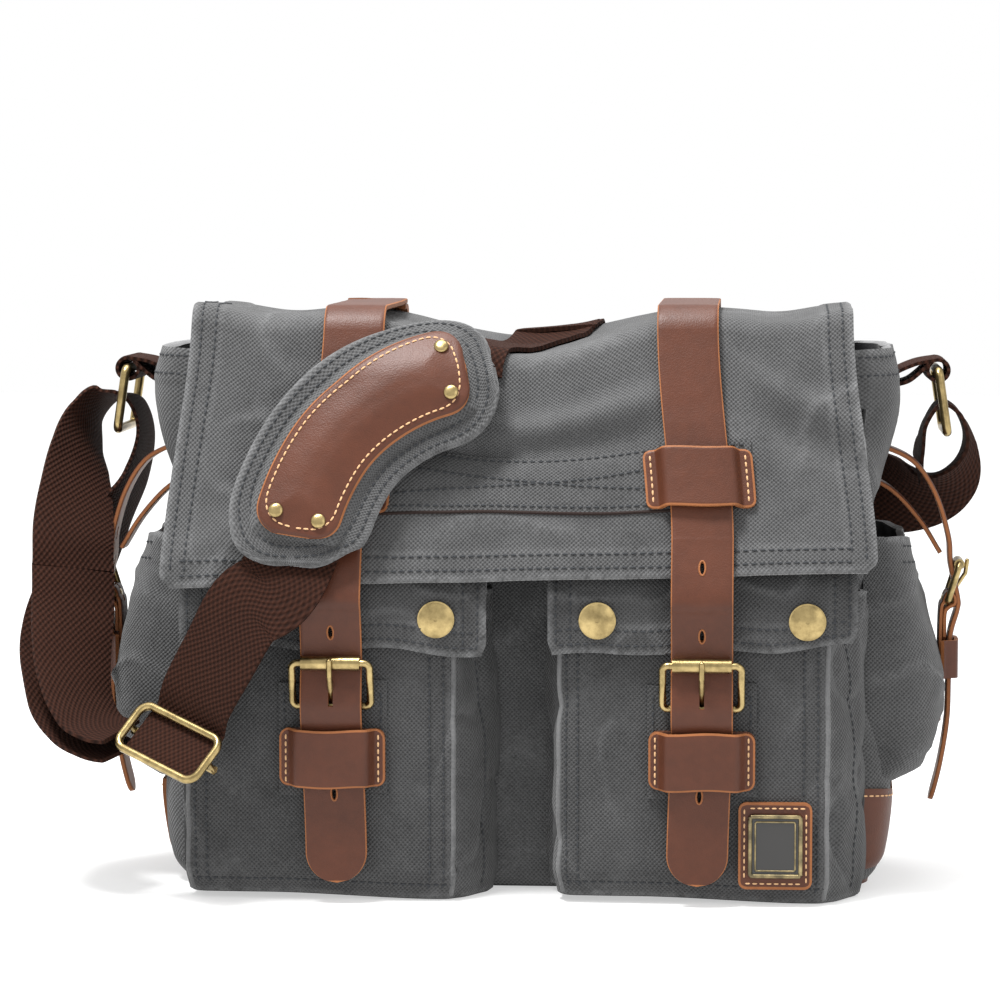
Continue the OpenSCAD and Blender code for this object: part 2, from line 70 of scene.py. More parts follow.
# --- shader helpers
class Shader:
    """A principled material with a few small node-building helpers."""

    def __init__(self, name, rough, metal=0.0, spec=0.5):
        self.mat = bpy.data.materials.new(name)
        self.mat.use_nodes = True
        self.t = self.mat.node_tree
        self.bsdf = self.t.nodes["Principled BSDF"]
        self.bsdf.inputs["Roughness"].default_value = rough
        self.bsdf.inputs["Metallic"].default_value = metal
        self.bsdf.inputs["Specular IOR Level"].default_value = spec

    def put(self, socket, value):
        if isinstance(value, bpy.types.NodeSocket):
            self.t.links.new(value, socket)
        elif isinstance(value, (tuple, list)) and len(value) == 3 and socket.type == "RGBA":
            socket.default_value = (*value, 1.0)
        else:
            socket.default_value = value

    def node(self, kind, **inputs):
        n = self.t.nodes.new(kind)
        for key, value in inputs.items():
            self.put(n.inputs[key.replace("_", " ")], value)
        return n

    def math(self, op, *values):
        n = self.t.nodes.new("ShaderNodeMath")
        n.operation = op
        for socket, value in zip(n.inputs, values):
            self.put(socket, value)
        return n.outputs[0]

    def mix(self, factor, a, b):
        n = self.t.nodes.new("ShaderNodeMix")
        n.data_type = "RGBA"
        self.put(n.inputs[0], factor)
        self.put(n.inputs[6], a)
        self.put(n.inputs[7], b)
        return n.outputs[2]

    def coord(self, kind):
        return self.node("ShaderNodeTexCoord").outputs[kind]

    def noise(self, at, scale, detail=3.0, rough=0.55):
        n = self.node("ShaderNodeTexNoise", Vector=at, Scale=scale, Detail=detail, Roughness=rough)
        return n.outputs["Fac"]

    def ramp(self, value, low, high):
        n = self.t.nodes.new("ShaderNodeMapRange")
        for i, v in enumerate((value, low, high, 0.0, 1.0)):
            self.put(n.inputs[i], v)
        return n.outputs[0]

    def bump(self, height, distance, strength=1.0, under=None):
        n = self.node("ShaderNodeBump", Height=height, Strength=strength, Distance=distance)
        if under is not None:
            self.put(n.inputs["Normal"], under)
        return n.outputs[0]

    def finish(self, color, normal=None):
        self.put(self.bsdf.inputs["Base Color"], color)
        if normal is not None:
            self.put(self.bsdf.inputs["Normal"], normal)
        return self.mat


def weave_height(s, at, pitch_u, pitch_v):
    """Rows of raised threads: alternate crowns, pitch in metres."""
    xyz = s.node("ShaderNodeSeparateXYZ", Vector=at)
    stray = s.noise(at, 500.0, 2.0)
    a = s.math("SINE", s.math("MULTIPLY_ADD", xyz.outputs[0], math.pi / pitch_u, stray))
    b = s.math("SINE", s.math("MULTIPLY_ADD", xyz.outputs[1], math.pi / pitch_v, stray))
    return s.math("MULTIPLY_ADD", s.math("MULTIPLY", a, b), 0.5, 0.5)


def tint(c, k):
    return tuple(min(1.0, x * k) for x in c)


def cloth(name, color, depth, pitch=None, worn=0.3, fleck=0.34, rough=0.92, sheen=0.12, crown=0.2, spec=0.25):
    """Woven cloth: broad worn patches, flecks of lighter thread, and a weave if it has a pitch, with painted shade in
    the gaps between threads and a painted highlight on the thread crowns.
    """
    s = Shader(name, rough, spec=spec)
    obj = s.coord("Object")
    broad = s.ramp(s.noise(obj, 22.0, 4.0, 0.6), 0.32, 0.68)
    fine = s.ramp(s.noise(obj, 900.0, 2.0, 0.6), 0.3, 0.7)
    patch = s.ramp(s.noise(obj, 90.0, 5.0, 0.65), 0.35, 0.7)
    base = s.mix(broad, tint(color, 1 - worn), tint(color, 1 + worn))
    base = s.mix(s.math("MULTIPLY", patch, 0.5), base, tint(color, 1 + 1.6 * worn))
    base = s.mix(s.math("MULTIPLY", fine, fleck), base, tint(color, 2.3))
    if pitch:
        h = weave_height(s, s.coord("UV"), *pitch)
        # painted shade: the low gaps between the threads are darkened towards a near-black copy of the colour
        base = s.mix(s.math("MULTIPLY", s.ramp(h, 0.5, 0.0), 0.75), base, tint(color, 0.22))
        # painted highlight: the thread crowns are lightened by the crown amount
        base = s.mix(s.math("MULTIPLY", s.ramp(h, 0.6, 1.0), crown), base, tint(color, 2.4))
        n = s.bump(h, depth, 0.9)
        n = s.bump(s.noise(obj, 700.0, 2.0), depth * 0.6, 0.5, n)
    else:
        n = s.bump(s.noise(obj, 1100.0, 2.0), depth, 0.6)
    wear = s.node("ShaderNodeAttribute")
    wear.attribute_name = "worn"
    rubbed = s.math("MULTIPLY", wear.outputs["Fac"], s.ramp(s.noise(obj, 260.0, 3.0), 0.25, 0.6))
    base = s.mix(rubbed, base, tint(color, 2.7))
    s.bsdf.inputs["Sheen Weight"].default_value = sheen
    s.bsdf.inputs["Sheen Roughness"].default_value = 0.5
    return s.finish(base, n)


def hide(name, color, rough=0.46):
    """Oiled leather: pores, soft creases and rubbed lighter patches."""
    s = Shader(name, rough, spec=0.3)
    at = s.coord("Object")
    broad = s.ramp(s.noise(at, 30.0, 5.0, 0.6), 0.3, 0.72)
    mottled = s.ramp(s.noise(at, 260.0, 4.0, 0.6), 0.35, 0.75)
    base = s.mix(broad, tint(color, 0.82), tint(color, 1.18))
    base = s.mix(s.math("MULTIPLY", mottled, 0.35), base, tint(color, 1.45))
    pores = s.node("ShaderNodeTexVoronoi", Vector=at, Scale=1500.0).outputs["Distance"]
    n = s.bump(pores, 0.00012, 0.5)
    n = s.bump(s.noise(at, 120.0, 4.0), 0.0005, 0.35, n)
    return s.finish(base, n)


def metal(name, bright, dark, rough):
    s = Shader(name, rough, metal=1.0)
    at = s.coord("Object")
    worn = s.ramp(s.noise(at, 160.0, 5.0, 0.65), 0.38, 0.66)
    base = s.mix(worn, dark, bright)
    return s.finish(base, s.bump(s.noise(at, 900.0, 3.0), 0.00006, 0.5))


def plain(name, color, rough, metallic=0.0, spec=0.3):
    s = Shader(name, rough, metallic, spec)
    return s.finish(color)


CANVAS = (0.052, 0.0522, 0.0528)
LEATHER = (0.064, 0.0180, 0.0075)
WEB = (0.0215, 0.0078, 0.0046)
WEAVE = (0.00095, 0.00095)
canvas = cloth("canvas", CANVAS, 0.0005, WEAVE)
# painted shade: the pockets and their flaps take a darker copy of the same canvas
canvas_pocket_shaded = cloth("canvas_pocket_shaded", tint(CANVAS, 0.8), 0.0005, WEAVE, spec=0.15)
canvas_worn = cloth("canvas_worn", tint(CANVAS, 1.7), 0.0004, (0.00125, 0.00125))
canvas_plain = cloth("canvas_plain", CANVAS, 0.0003)
canvas_dark = cloth("canvas_dark", tint(CANVAS, 0.62), 0.0003)
# the webbing takes a strong painted highlight on its thread crowns (crown=0.5)
webbing = cloth("webbing", WEB, 0.0006, (0.0013, 0.0016), worn=0.14, fleck=0.16, rough=0.85, sheen=0.0, crown=0.5,
                spec=0.1)
webbing_plain = cloth("webbing_plain", WEB, 0.0004)
lining = cloth("lining", (0.045, 0.046, 0.050), 0.0003, worn=0.1, fleck=0.1)
leather = hide("leather", LEATHER)
leather_edge = hide("leather_edge", (0.22, 0.078, 0.025), 0.65)
leather_tan = hide("leather_tan", (0.30, 0.115, 0.045), 0.5)
brass = metal("antique_brass", (0.46, 0.35, 0.16), (0.25, 0.187, 0.083), 0.3)
brass_dark = metal("badge_brass", (0.34, 0.27, 0.14), (0.12, 0.10, 0.06), 0.34)
steel = metal("magnet_steel", (0.45, 0.45, 0.44), (0.3, 0.3, 0.3), 0.3)
thread_dark = plain("thread_dark", (0.028, 0.030, 0.033), 0.8)
thread_tan = plain("thread_tan", (0.55, 0.33, 0.17), 0.7)
# painted shadow: near-black for the shade inside the welt's slit
slit_shadow = plain("slit_shadow", (0.018, 0.010, 0.008), 0.9)
field_dark = plain("badge_field", (0.020, 0.019, 0.018), 0.35, spec=0.5)

# Outside, inside and cut edge of each sheet material; the pockets' outside is a darker copy of the canvas, as painted
# shade.
CANVAS_FACES = (canvas, canvas_dark, canvas_worn)
POCKET_SHADED_FACES = (canvas_pocket_shaded, canvas_dark, canvas_worn)
LEATHER_FACES = (leather, leather_tan, leather_edge)

# Every CAD node takes a finish; soft pieces below replace the ones they stand for.
NODE_MATERIAL = {
    "canvas": canvas_plain, "leather": leather, "lining": lining, "webbing": webbing_plain,
    "antique_brass": brass, "magnet_steel": steel, "badge_metal": brass_dark,
}
for part in frame["record"]["subparts"]:
    data = nodes[part["node"]].data
    data.materials.clear()
    data.materials.append(NODE_MATERIAL[part["material_slot"]])


# --- mesh helpers
def unit(v):
    return v / np.maximum(np.linalg.norm(v, axis=-1, keepdims=True), 1e-9)


def pack(*parts):
    """Stack coordinates, spread over each other's shape, into points."""
    return np.stack(np.broadcast_arrays(*[np.asarray(c, float) for c in parts]), -1)


def lengths(path):
    """Distance along a path at each of its points."""
    return np.r_[0, np.cumsum(np.linalg.norm(np.diff(path, axis=0), axis=1))]


def nearest(values, target):
    return int(np.argmin(np.abs(values - target)))


def detail(full, quick):
    return full


def smooth_path(points, count):
    """count points spread evenly along a smooth curve through the given ones."""
    p = np.asarray(points, float)
    q = np.vstack([2 * p[0] - p[1], p, 2 * p[-1] - p[-2]])
    t = np.linspace(0, 1, 12, endpoint=False)[:, None]
    out = []
    for i in range(1, len(q) - 2):
        a, b, c, d = q[i - 1], q[i], q[i + 1], q[i + 2]
        out.append(0.5 * (2 * b + (c - a) * t + (2 * a - 5 * b + 4 * c - d) * t ** 2
                          + (3 * b - a - 3 * c + d) * t ** 3))
    out = np.vstack(out + [p[-1:]])
    s = lengths(out[:, :3])
    at = np.linspace(0, s[-1], count)
    return np.stack([np.interp(at, s, out[:, k]) for k in range(out.shape[1])], 1)


def bumps(points, scale, seed=0.0):
    """Smooth noise in -1..1 at each point, with waves about `scale` mm long."""
    flat = np.asarray(points, float).reshape(-1, 3) / scale + seed
    out = [noise.noise(Vector(p)) for p in flat]
    return np.array(out).reshape(np.shape(points)[:-1])


def folds(points, scale, seed=0.0):
    """Thin crease lines, 0..1, wandering over the cloth."""
    return np.clip(1 - 4.5 * np.abs(bumps(points, scale, seed)), 0, 1) ** 1.5


def ridge(x, centre, width):
    return np.exp(-((x - centre) / width) ** 2)


def step(x, a, b):
    t = np.clip((x - a) / (b - a), 0, 1)
    return t * t * (3 - 2 * t)


def round_grid(w, h, r, count_u, count_v):
    """Grid over a w by h rectangle whose corners are rounded with radius r."""
    u, v = np.meshgrid(np.linspace(-1, 1, count_u), np.linspace(-1, 1, count_v))
    x, z = u * w / 2, v * h / 2
    over_x, over_z = np.clip(np.abs(x) - (w / 2 - r), 0, None), np.clip(np.abs(z) - (h / 2 - r), 0, None)
    shrink = np.maximum(over_x, over_z) / np.maximum(np.hypot(over_x, over_z), 1e-6)
    x = np.sign(x) * (np.minimum(np.abs(x), w / 2 - r) + over_x * shrink)
    z = np.sign(z) * (np.minimum(np.abs(z), h / 2 - r) + over_z * shrink)
    return x, z


class Piece:
    """Collects quads from several surfaces into one mesh."""

    def __init__(self, name):
        self.name, self.v, self.f, self.m, self.uv, self.mats, self.worn = name, [], [], [], [], [], []
        self.count = 0

    def slot(self, mat):
        if mat not in self.mats:
            self.mats.append(mat)
        return self.mats.index(mat)

    def add(self, verts, faces, mat, uv=None, worn=0.0):
        """verts (n,3) in mm, faces as index lists, uv (n,2) in metres"""
        k = self.slot(mat) if not isinstance(mat, list) else None
        verts = np.asarray(verts, float)
        uv = np.zeros((len(verts), 2)) if uv is None else uv
        self.v.append(verts)
        self.worn.append(np.broadcast_to(np.asarray(worn, float), (len(verts),)))
        self.uv.append(uv)
        for i, f in enumerate(faces):
            self.f.append([x + self.count for x in f])
            self.m.append(self.slot(mat[i]) if k is None else k)
        self.count += len(verts)

    def slab(self, mid, thick, top, under=None, edge=None, keep=None, flip=False, uv=None, wrap=False,
             raw=0, worn=0.0):
        """A sheet of the given thickness around a grid of points (n, m, 3); raw rows of faces show the cut edge."""
        mid = np.asarray(mid, float)
        n, m, _ = mid.shape
        under, edge = under or top, edge or top
        if wrap:
            ext = np.concatenate([mid[:, -2:-1], mid, mid[:, 1:2]], 1)
            du = (ext[:, 2:] - ext[:, :-2])
        else:
            du = np.gradient(mid, axis=1)
        nrm = unit(np.cross(du, np.gradient(mid, axis=0)))
        if flip:
            nrm = -nrm
        half = (np.broadcast_to(np.asarray(thick, float), (n, m)) / 2)[..., None]
        if uv is None:
            su = lengths(mid[n // 2])
            sv = lengths(mid[:, m // 2])
            uv = np.stack(np.meshgrid(su, sv), -1) / 1000
        verts = np.concatenate([(mid + nrm * half).reshape(-1, 3), (mid - nrm * half).reshape(-1, 3)])
        uvs = np.concatenate([uv.reshape(-1, 2)] * 2)
        keep = np.ones((n - 1, m - 1), bool) if keep is None else keep
        faces, mats = [], []

        def quad(a, b, c, d, mat):
            faces.append([d, c, b, a] if flip else [a, b, c, d])
            mats.append(mat)
        off = n * m
        ii, jj = np.nonzero(keep)
        for i, j in zip(ii, jj):
            a, b, c, d = i * m + j, i * m + j + 1, (i + 1) * m + j + 1, (i + 1) * m + j
            cut = raw and (min(i, n - 2 - i) < raw or min(j, m - 2 - j) < raw)
            quad(a, b, c, d, edge if cut else top)
            quad(d + off, c + off, b + off, a + off, under)
            if i == 0 or not keep[i - 1, j]:
                quad(b, a, a + off, b + off, edge)
            if i == n - 2 or not keep[i + 1, j]:
                quad(d, c, c + off, d + off, edge)
            left = keep[i, j - 1] if j > 0 else (wrap and keep[i, m - 2])
            right = keep[i, j + 1] if j < m - 2 else (wrap and keep[i, 0])
            if not left:
                quad(a, d, d + off, a + off, edge)
            if not right:
                quad(c, b, b + off, c + off, edge)
        rubbed = np.broadcast_to(np.asarray(worn, float), (n, m)).reshape(-1)
        self.add(verts, faces, mats, uvs, np.concatenate([rubbed, rubbed * 0]))

    def tube(self, path, radius, mat, sides=8, closed=False):
        p = np.asarray(path, float)
        t = unit(np.roll(p, -1, 0) - np.roll(p, 1, 0)) if closed else unit(np.gradient(p, axis=0))
        a = unit(np.cross(t, [0.31, 0.17, 0.93]))
        b = np.cross(t, a)
        ang = np.linspace(0, 2 * math.pi, sides, endpoint=False)[None, :, None]
        ring = p[:, None] + radius * (np.cos(ang) * a[:, None] + np.sin(ang) * b[:, None])
        n = len(p)
        faces = []
        for i in range(n if closed else n - 1):
            for k in range(sides):
                i2, k2 = (i + 1) % n, (k + 1) % sides
                faces.append([i * sides + k, i * sides + k2, i2 * sides + k2, i2 * sides + k])
        if not closed:
            faces += [list(range(sides))[::-1], [(n - 1) * sides + k for k in range(sides)]]
        self.add(ring.reshape(-1, 3), faces, mat)

    def stitches(self, points, normals, mat, pitch=3.4, length=2.2, width=0.8, lift=0.1):
        """Raised thread dashes along a line of points; normals may be one direction for all."""
        p = np.asarray(points, float)
        n = unit(np.broadcast_to(np.asarray(normals, float), p.shape))
        s = lengths(p)
        at = np.arange(pitch / 2, s[-1] - pitch / 4, pitch)

        def pick(q, arr):
            return np.stack([np.interp(q, s, arr[:, k]) for k in range(3)], 1)
        c = pick(at, p)
        t = unit(pick(at + 0.5, p) - pick(at - 0.5, p))
        up = unit(pick(at, n))
        side = unit(np.cross(t, up))
        ang = np.linspace(0, 2 * math.pi, 6, endpoint=False)
        rings = []
        for along, r, h in ((-0.5, 0.45, -0.12), (-0.28, 1.0, 0.06), (0.28, 1.0, 0.06), (0.5, 0.45, -0.12)):
            ring = (c + t * along * length + up * (lift + h * width))[:, None]
            ring = ring + side[:, None] * (np.cos(ang) * r * width / 2)[None, :, None]
            ring = ring + up[:, None] * (np.sin(ang) * r * width * 0.36)[None, :, None]
            rings.append(ring)
        v = np.stack(rings, 1)
        k = len(at)
        faces = []
        for q in range(k):
            o = q * 24
            for i in range(3):
                for j in range(6):
                    j2 = (j + 1) % 6
                    faces.append([o + i * 6 + j, o + i * 6 + j2, o + i * 6 + 6 + j2, o + i * 6 + 6 + j])
            faces += [[o + j for j in range(6)][::-1], [o + 18 + j for j in range(6)]]
        self.add(v.reshape(-1, 3), faces, mat)

    def row(self, start, end, count, normal, mat, **kw):
        """A straight row of stitches."""
        self.stitches(np.linspace(start, end, count), normal, mat, **kw)

    def build(self, sharp=50):
        me = bpy.data.meshes.new(self.name)
        v = np.concatenate(self.v) / 1000
        me.from_pydata(v.tolist(), [], self.f)
        for mat in self.mats:
            me.materials.append(mat)
        me.polygons.foreach_set("material_index", self.m)
        layer = me.uv_layers.new(name="UVMap")
        uv = np.concatenate(self.uv)
        loops = np.zeros(len(me.loops), int)
        me.loops.foreach_get("vertex_index", loops)
        layer.data.foreach_set("uv", uv[loops].astype(np.float32).ravel())
        rubbed = me.attributes.new("worn", "FLOAT", "POINT")
        rubbed.data.foreach_set("value", np.concatenate(self.worn).astype(np.float32))
        me.update()
        me.shade_smooth()
        me.set_sharp_from_angle(angle=math.radians(sharp))
        obj = bpy.data.objects.new(self.name, me)
        bpy.context.scene.collection.objects.link(obj)
        return obj


def placed(piece, body, slot, *replaced, sharp=50, start=None, end=None):
    """Build a piece that rides one body, or, when a start is given, is baked in place in the row frame; hide the
    nodes it stands for.
    """
    obj = piece.build(sharp)
    if start:
        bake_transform(obj)
    else:
        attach(obj, body)
    if replaced:
        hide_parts(*replaced)
    return obj

# --- the flap's surface
def flap_profile():
    """Distance along the flap's middle line, its y and z, and its slope angle."""
    s = np.linspace(0, 240, 961)
    theta = (math.pi / 2 - TILT) * np.clip((s - 97.1) / 12.0, 0, 1)
    d = s[1] - s[0]
    y = 50 - np.r_[0, np.cumsum(np.cos(theta[:-1]) * d)]
    z = 247.6 - np.r_[0, np.cumsum(np.sin(theta[:-1]) * d)]
    return s, y, z, theta


PROFILE = flap_profile()


def top_sag(x):
    """How far the soft top sinks between the straps."""
    return 18.0 * (1 - step(np.abs(x + 2), 0, 78)) + 2.5 * ridge(np.abs(x), 108, 16) - 2.5 * step(np.abs(x), 112, 141)


def flap_width(b):
    return 141.0 + 10.0 * step(b, 105, 218)


def flap_point(x, b, out=0.0, fine=1.0):
    """Point of the flap at x, a distance b from its back hinge, lifted out of the cloth."""
    x, b = np.broadcast_arrays(np.asarray(x, float), np.asarray(b, float))
    s, py, pz, th = PROFILE
    y, z, t = np.interp(b, s, py), np.interp(b, s, pz), np.interp(b, s, th)
    ny, nz = -np.sin(t), np.cos(t)
    calm = 1 - 0.85 * ridge(np.abs(x), STRAP_X, 15)
    down = 1 - step(b, 112, 190)
    z = z - top_sag(x) * down * (0.72 + 0.28 * step(b, 0, 30))
    p = np.stack([x, y, z], -1)
    front = step(b, 108, 130)
    loose = 1.9 * bumps(p, 66, 3.1) + 0.8 * bumps(p, 27, 9.4) + 0.35 * bumps(p, 12, 1.7)
    across, slant = b + 0.05 * x, b - 0.62 * (x - 100)
    roll = (4.0 * ridge(across, 140, 8) - 2.2 * ridge(across, 156, 8)) * (1 - step(np.abs(x - 5), 40, 70))
    corner = (3.2 * ridge(slant, 128, 7) - 2.4 * ridge(slant, 144, 8)) * step(x, 92, 112)
    corner = corner + 2.4 * ridge(b + 0.5 * (x + 110), 190, 9) * step(-x, 96, 116)
    hem = 1.6 * np.sin(x / 17.0 + 0.6) * step(b, 190, 218)
    loose = loose + 1.5 * folds(p * [1, 1, 1.3], 48, 21.5) * step(bumps(p, 60, 14.0), -0.1, 0.25) * (1 - 0.5 * down)
    d = out + fine * (loose * calm * (0.35 + 0.65 * step(b, 5, 30)) + (roll + corner) * front + hem * calm)
    p[..., 1] += ny * d
    p[..., 2] += nz * d + 0.0264 * x * step(b, 150, 218)
    return p


def flap_normal(x, b):
    e = 1.5
    du = flap_point(x + e, b) - flap_point(x - e, b)
    dv = flap_point(x, b + e) - flap_point(x, b - e)
    return unit(np.cross(dv, du))


def on_flap(piece, x, b, mat, out=1.6, **kw):
    """A stitch line over the flap through the given x and b values."""
    piece.stitches(flap_point(x, b, out), flap_normal(x, b), mat, **kw)


flap = Piece("flap_cloth")
n, m = detail((230, 240), (115, 120))
a, b = np.meshgrid(np.linspace(-1, 1, m), np.linspace(0, 1, n) * FLAP_L)
x = a * flap_width(b) * (1 - 0.028 * step(b, FLAP_L - 7, FLAP_L) ** 2)
hem_thick = 2.2 + step(b, FLAP_L - 12, FLAP_L - 10) + step(np.abs(x), flap_width(b) - 13, flap_width(b) - 11)
edge_thin = 1 - 0.45 * np.maximum(step(np.abs(a), 0.992, 1), step(b, FLAP_L - 1.2, FLAP_L))
points = flap_point(x, b)
crest = folds(points * [1, 1, 1.3], 48, 21.5) * step(bumps(points, 60, 14.0), -0.1, 0.25)
from_edge = np.minimum(flap_width(b) - np.abs(x), FLAP_L - b)
rub = 0.35 * crest + 0.75 * (1 - step(from_edge, 0.5, 3.5)) + 0.3 * ridge(from_edge, 12.5, 1.2)
rub = rub + 0.35 * ridge(b, 103, 7) * step(bumps(points, 40, 2.0), -0.3, 0.3)
flap.slab(points, np.minimum(hem_thick, 3.2) * edge_thin, *CANVAS_FACES, worn=np.clip(rub, 0, 1),
          uv=pack(x, b) / 1000, flip=True)
bb = np.linspace(60, FLAP_L - 6, 260)
for inset in (4.6, 10.6):
    for x, b in ((inset - flap_width(bb), bb), (flap_width(bb) - inset, bb),
                 (np.linspace(-143, 143, 260), FLAP_L - inset)):
        on_flap(flap, x, b, thread_dark, out=1.75, pitch=3.6, length=2.3)

# Welted patch across the flap, with its crossed rows and a near-black tube along the welt's lower edge as painted
# shadow in its slit.
patch_top, patch_low = 158.5, 188.0


def patch_wave(x):
    return 1.2 * np.sin(x / 30) - 0.02 * (x - 18)


px, pb = np.meshgrid(18 + np.linspace(-80, 80, 120), np.linspace(patch_top, patch_low, 26))
pb = pb + patch_wave(px)
flap.slab(flap_point(px, pb, 1.5), 0.9, canvas, flip=True, uv=pack(px, pb) / 1000 + 0.0004)
lx = np.linspace(-60, 96, 160)
wave = patch_wave(lx)
drift = np.linspace(0, 16, 160)
for b, cut in ((patch_top + 2.0, 160), (patch_low - 2.2, 160), (patch_top + 8 + drift, 130),
               (patch_low - 7 - drift, 130)):
    part = slice(4 if cut < 160 else 0, cut)
    on_flap(flap, lx[part], (b + wave)[part], thread_dark, out=2.2, pitch=3.4)
# painted shadow: a near-black tube stands in for the shade in the welt's slit
flap.tube(flap_point(lx, patch_low + 0.6 + wave, 1.5), 0.75, slit_shadow, sides=6)
AT_FOLD = dict(start=(0, -0.044, 0.246), end=(0, -0.060, 0.234))
flap_obj = placed(flap, ("flap_top", "flap_front"), "canvas", "flap_top", "flap_front", "flap_band", **AT_FOLD)


# --- leather straps over the flap
def strap_x(side, b):
    """The straps spread a little as they come down the flap."""
    return side * (STRAP_TOP_X + (STRAP_X - STRAP_TOP_X) * step(b, 105, 205))


def strap_line(side):
    """Middle line of a leather strap from the back hinge to its tip."""
    b = np.linspace(1.0, FLAP_L - 9, 90)
    top = flap_point(strap_x(side, b), b, 4.0, 0.35)
    low = np.array([[78, -97.6, 131.5], [78, -95.4, 124], [78, -92, 113], [78, -90.4, 103], [78, -92.6, 92],
                    [78, -93.4, 85], [78, -92.4, 79.5], [78, -90.2, 73], [77.6, -89.1, 62], [77, -88.7, 46],
                    [76.4, -88.6, 28], [76, -89.2, 9]], float)
    low[:, 0] *= side
    return smooth_path(np.vstack([top[:-2], low]), 420)


def round_tip(s, radius):
    """Share of full width at each length, rounding off the far end."""
    return np.sqrt(np.clip(1 - (1 - np.clip((s[-1] - s) / radius, 0, 1)) ** 2, 0.0004, 1))


for side, word in SIDES:
    piece = Piece(word + "_strap")
    p = strap_line(side)
    s = lengths(p)
    cols = np.array([-13, -12.5, -11, -7, -3.5, -1, 0, 1, 3.5, 7, 11, 12.5, 13])
    along = unit(np.gradient(p, axis=0))
    cross_dir = unit(np.cross(along, np.cross([1.0, 0, 0], along)))
    grid = p[:, None] + (cols[None, :, None] * round_tip(s, 13.0)[:, None, None]) * cross_dir[:, None]
    thick = np.interp(np.abs(cols), [7, 11, 12.5, 13], [2.6, 2.5, 2.3, 1.5])
    keep = np.ones((len(p) - 1, len(cols) - 1), bool)
    mid_z = (p[:-1, 2] + p[1:, 2]) / 2
    # punched holes; the long one is for the prong, the others have a raised rim
    for z, half in ((144, 2.6), (116, 2.6), (90, 5.2), (47, 2.6)):
        rows = (np.abs(mid_z - z) < half) & (s[:-1] > 120)
        keep[np.ix_(rows, [5, 6])] = False
        if half < 5:
            i = int(np.argmin(np.abs(p[:, 2] - z) + 1000 * (s < 120)))
            turn = np.linspace(0, 2 * math.pi, 25)[:, None]
            out = unit(np.cross(cross_dir[i], along[i]))
            out = out if out[1] < 0 else -out
            rim = p[i] + cross_dir[i] * 1.3 * np.cos(turn) + along[i] * (half + 0.5) * np.sin(turn) + out * 1.25
            piece.tube(rim, 0.42, leather_edge, sides=6)
    piece.slab(grid, thick, *LEATHER_FACES, keep=keep, flip=True, raw=1)
    placed(piece, ("flap_top", "flap_front"), "leather", word + "_strap_top", word + "_strap_front", sharp=40,
           **AT_FOLD)

# Keeper loops on the flap, over the straps.
keepers = Piece("flap_keepers")
for side in (-1, 1):
    uu, rr = round_grid(46, 27, 3.5, 53, 33)
    rr = rr + 175
    cx = strap_x(side, rr)
    lift = 2.4 + 5.6 * (1 - step(np.abs(uu), 13.6, 17.6)) + 0.5 * (1 - (uu / 14) ** 2) * (np.abs(uu) < 14)
    grid = flap_point(cx + uu, rr + 0.4 * np.sin(uu / 6.0 + side), 0, 0.35) + flap_normal(cx, rr) * lift[..., None]
    thick = 2.2 * (1 - 0.4 * (np.abs(uu) > 22.4)) * (1 - 0.3 * ((rr < 161.9) | (rr > 188.1)))
    keepers.slab(grid, thick, *LEATHER_FACES, flip=True, raw=1)
    for k in (-20.0, 20.0):
        b = np.linspace(163.5, 186.5, 40)
        x = strap_x(side, b)
        line = flap_point(x + k, b, 0, 0.35) + flap_normal(x, b) * 3.55
        keepers.stitches(line, flap_normal(x + k, b), thread_tan, pitch=3.0, length=2.1, lift=0.05)
placed(keepers, "flap_front", "leather", "flap_loops")

# --- body of the bag
def ring_path(count, half_x, half_y, radius):
    """Rounded rectangle seen from above, starting at the middle of the back."""
    corner = np.linspace(0, math.pi / 2, 40)
    pts = []
    for qx, qy, start in ((-1, 1, 1), (-1, -1, 2), (1, -1, 3), (1, 1, 4)):
        a = corner + math.pi / 2 * start
        pts.append(np.stack([qx * (half_x - radius) + radius * np.cos(a),
                             qy * (half_y - radius) + radius * np.sin(a)], 1))
    loop = np.vstack([[[0, half_y]]] + pts + [[[0, half_y]]])
    d = lengths(loop)
    at = np.linspace(0, d[-1], count)
    return np.stack([np.interp(at, d, loop[:, k]) for k in (0, 1)], 1), at


def corner_belly(x, z):
    """How far the sides lean out near the bottom."""
    return 10.0 * ridge(z, 42, 44) * step(np.abs(x), 112, HALF_W)


def body_surface(count_z, count_u):
    """The outer cloth as a grid, the lengths round and up it, and where it is rubbed."""
    loop, along = ring_path(count_u, HALF_W, HALF_D, 20)
    z = np.linspace(BODY_LOW, BODY_TOP, count_z)
    p = pack(loop[:, 0], loop[:, 1], z[:, None] - 0.95 * top_sag(loop[:, 0]) * step(z, 120, BODY_TOP)[:, None])
    out = unit(loop / [HALF_W, HALF_D])
    foot = 5.5 * (1 - step(z, 0, 14)) ** 2
    p[..., :2] -= foot[:, None, None] * out
    side = step(np.abs(p[..., 0]), 120, HALF_W)
    belly = 12.0 * ridge(z, 212, 34)[:, None] * side * step(z, 120, 190)[:, None]
    p[..., 0] += np.sign(p[..., 0]) * (belly + corner_belly(p[..., 0], p[..., 2]))
    crest = folds(p, 52, 8.5)
    soft = 2.0 * bumps(p, 60, 2.0) + 1.0 * bumps(p, 24, 5.0) + 1.8 * crest
    amount = (step(z, 6, 30)[:, None] * (0.4 + 0.6 * side))
    p[..., :2] += (soft * amount)[..., None] * out
    return p, along, z, 0.35 * crest + 0.8 * step(z, BODY_TOP - 3.5, BODY_TOP - 0.5)[:, None]


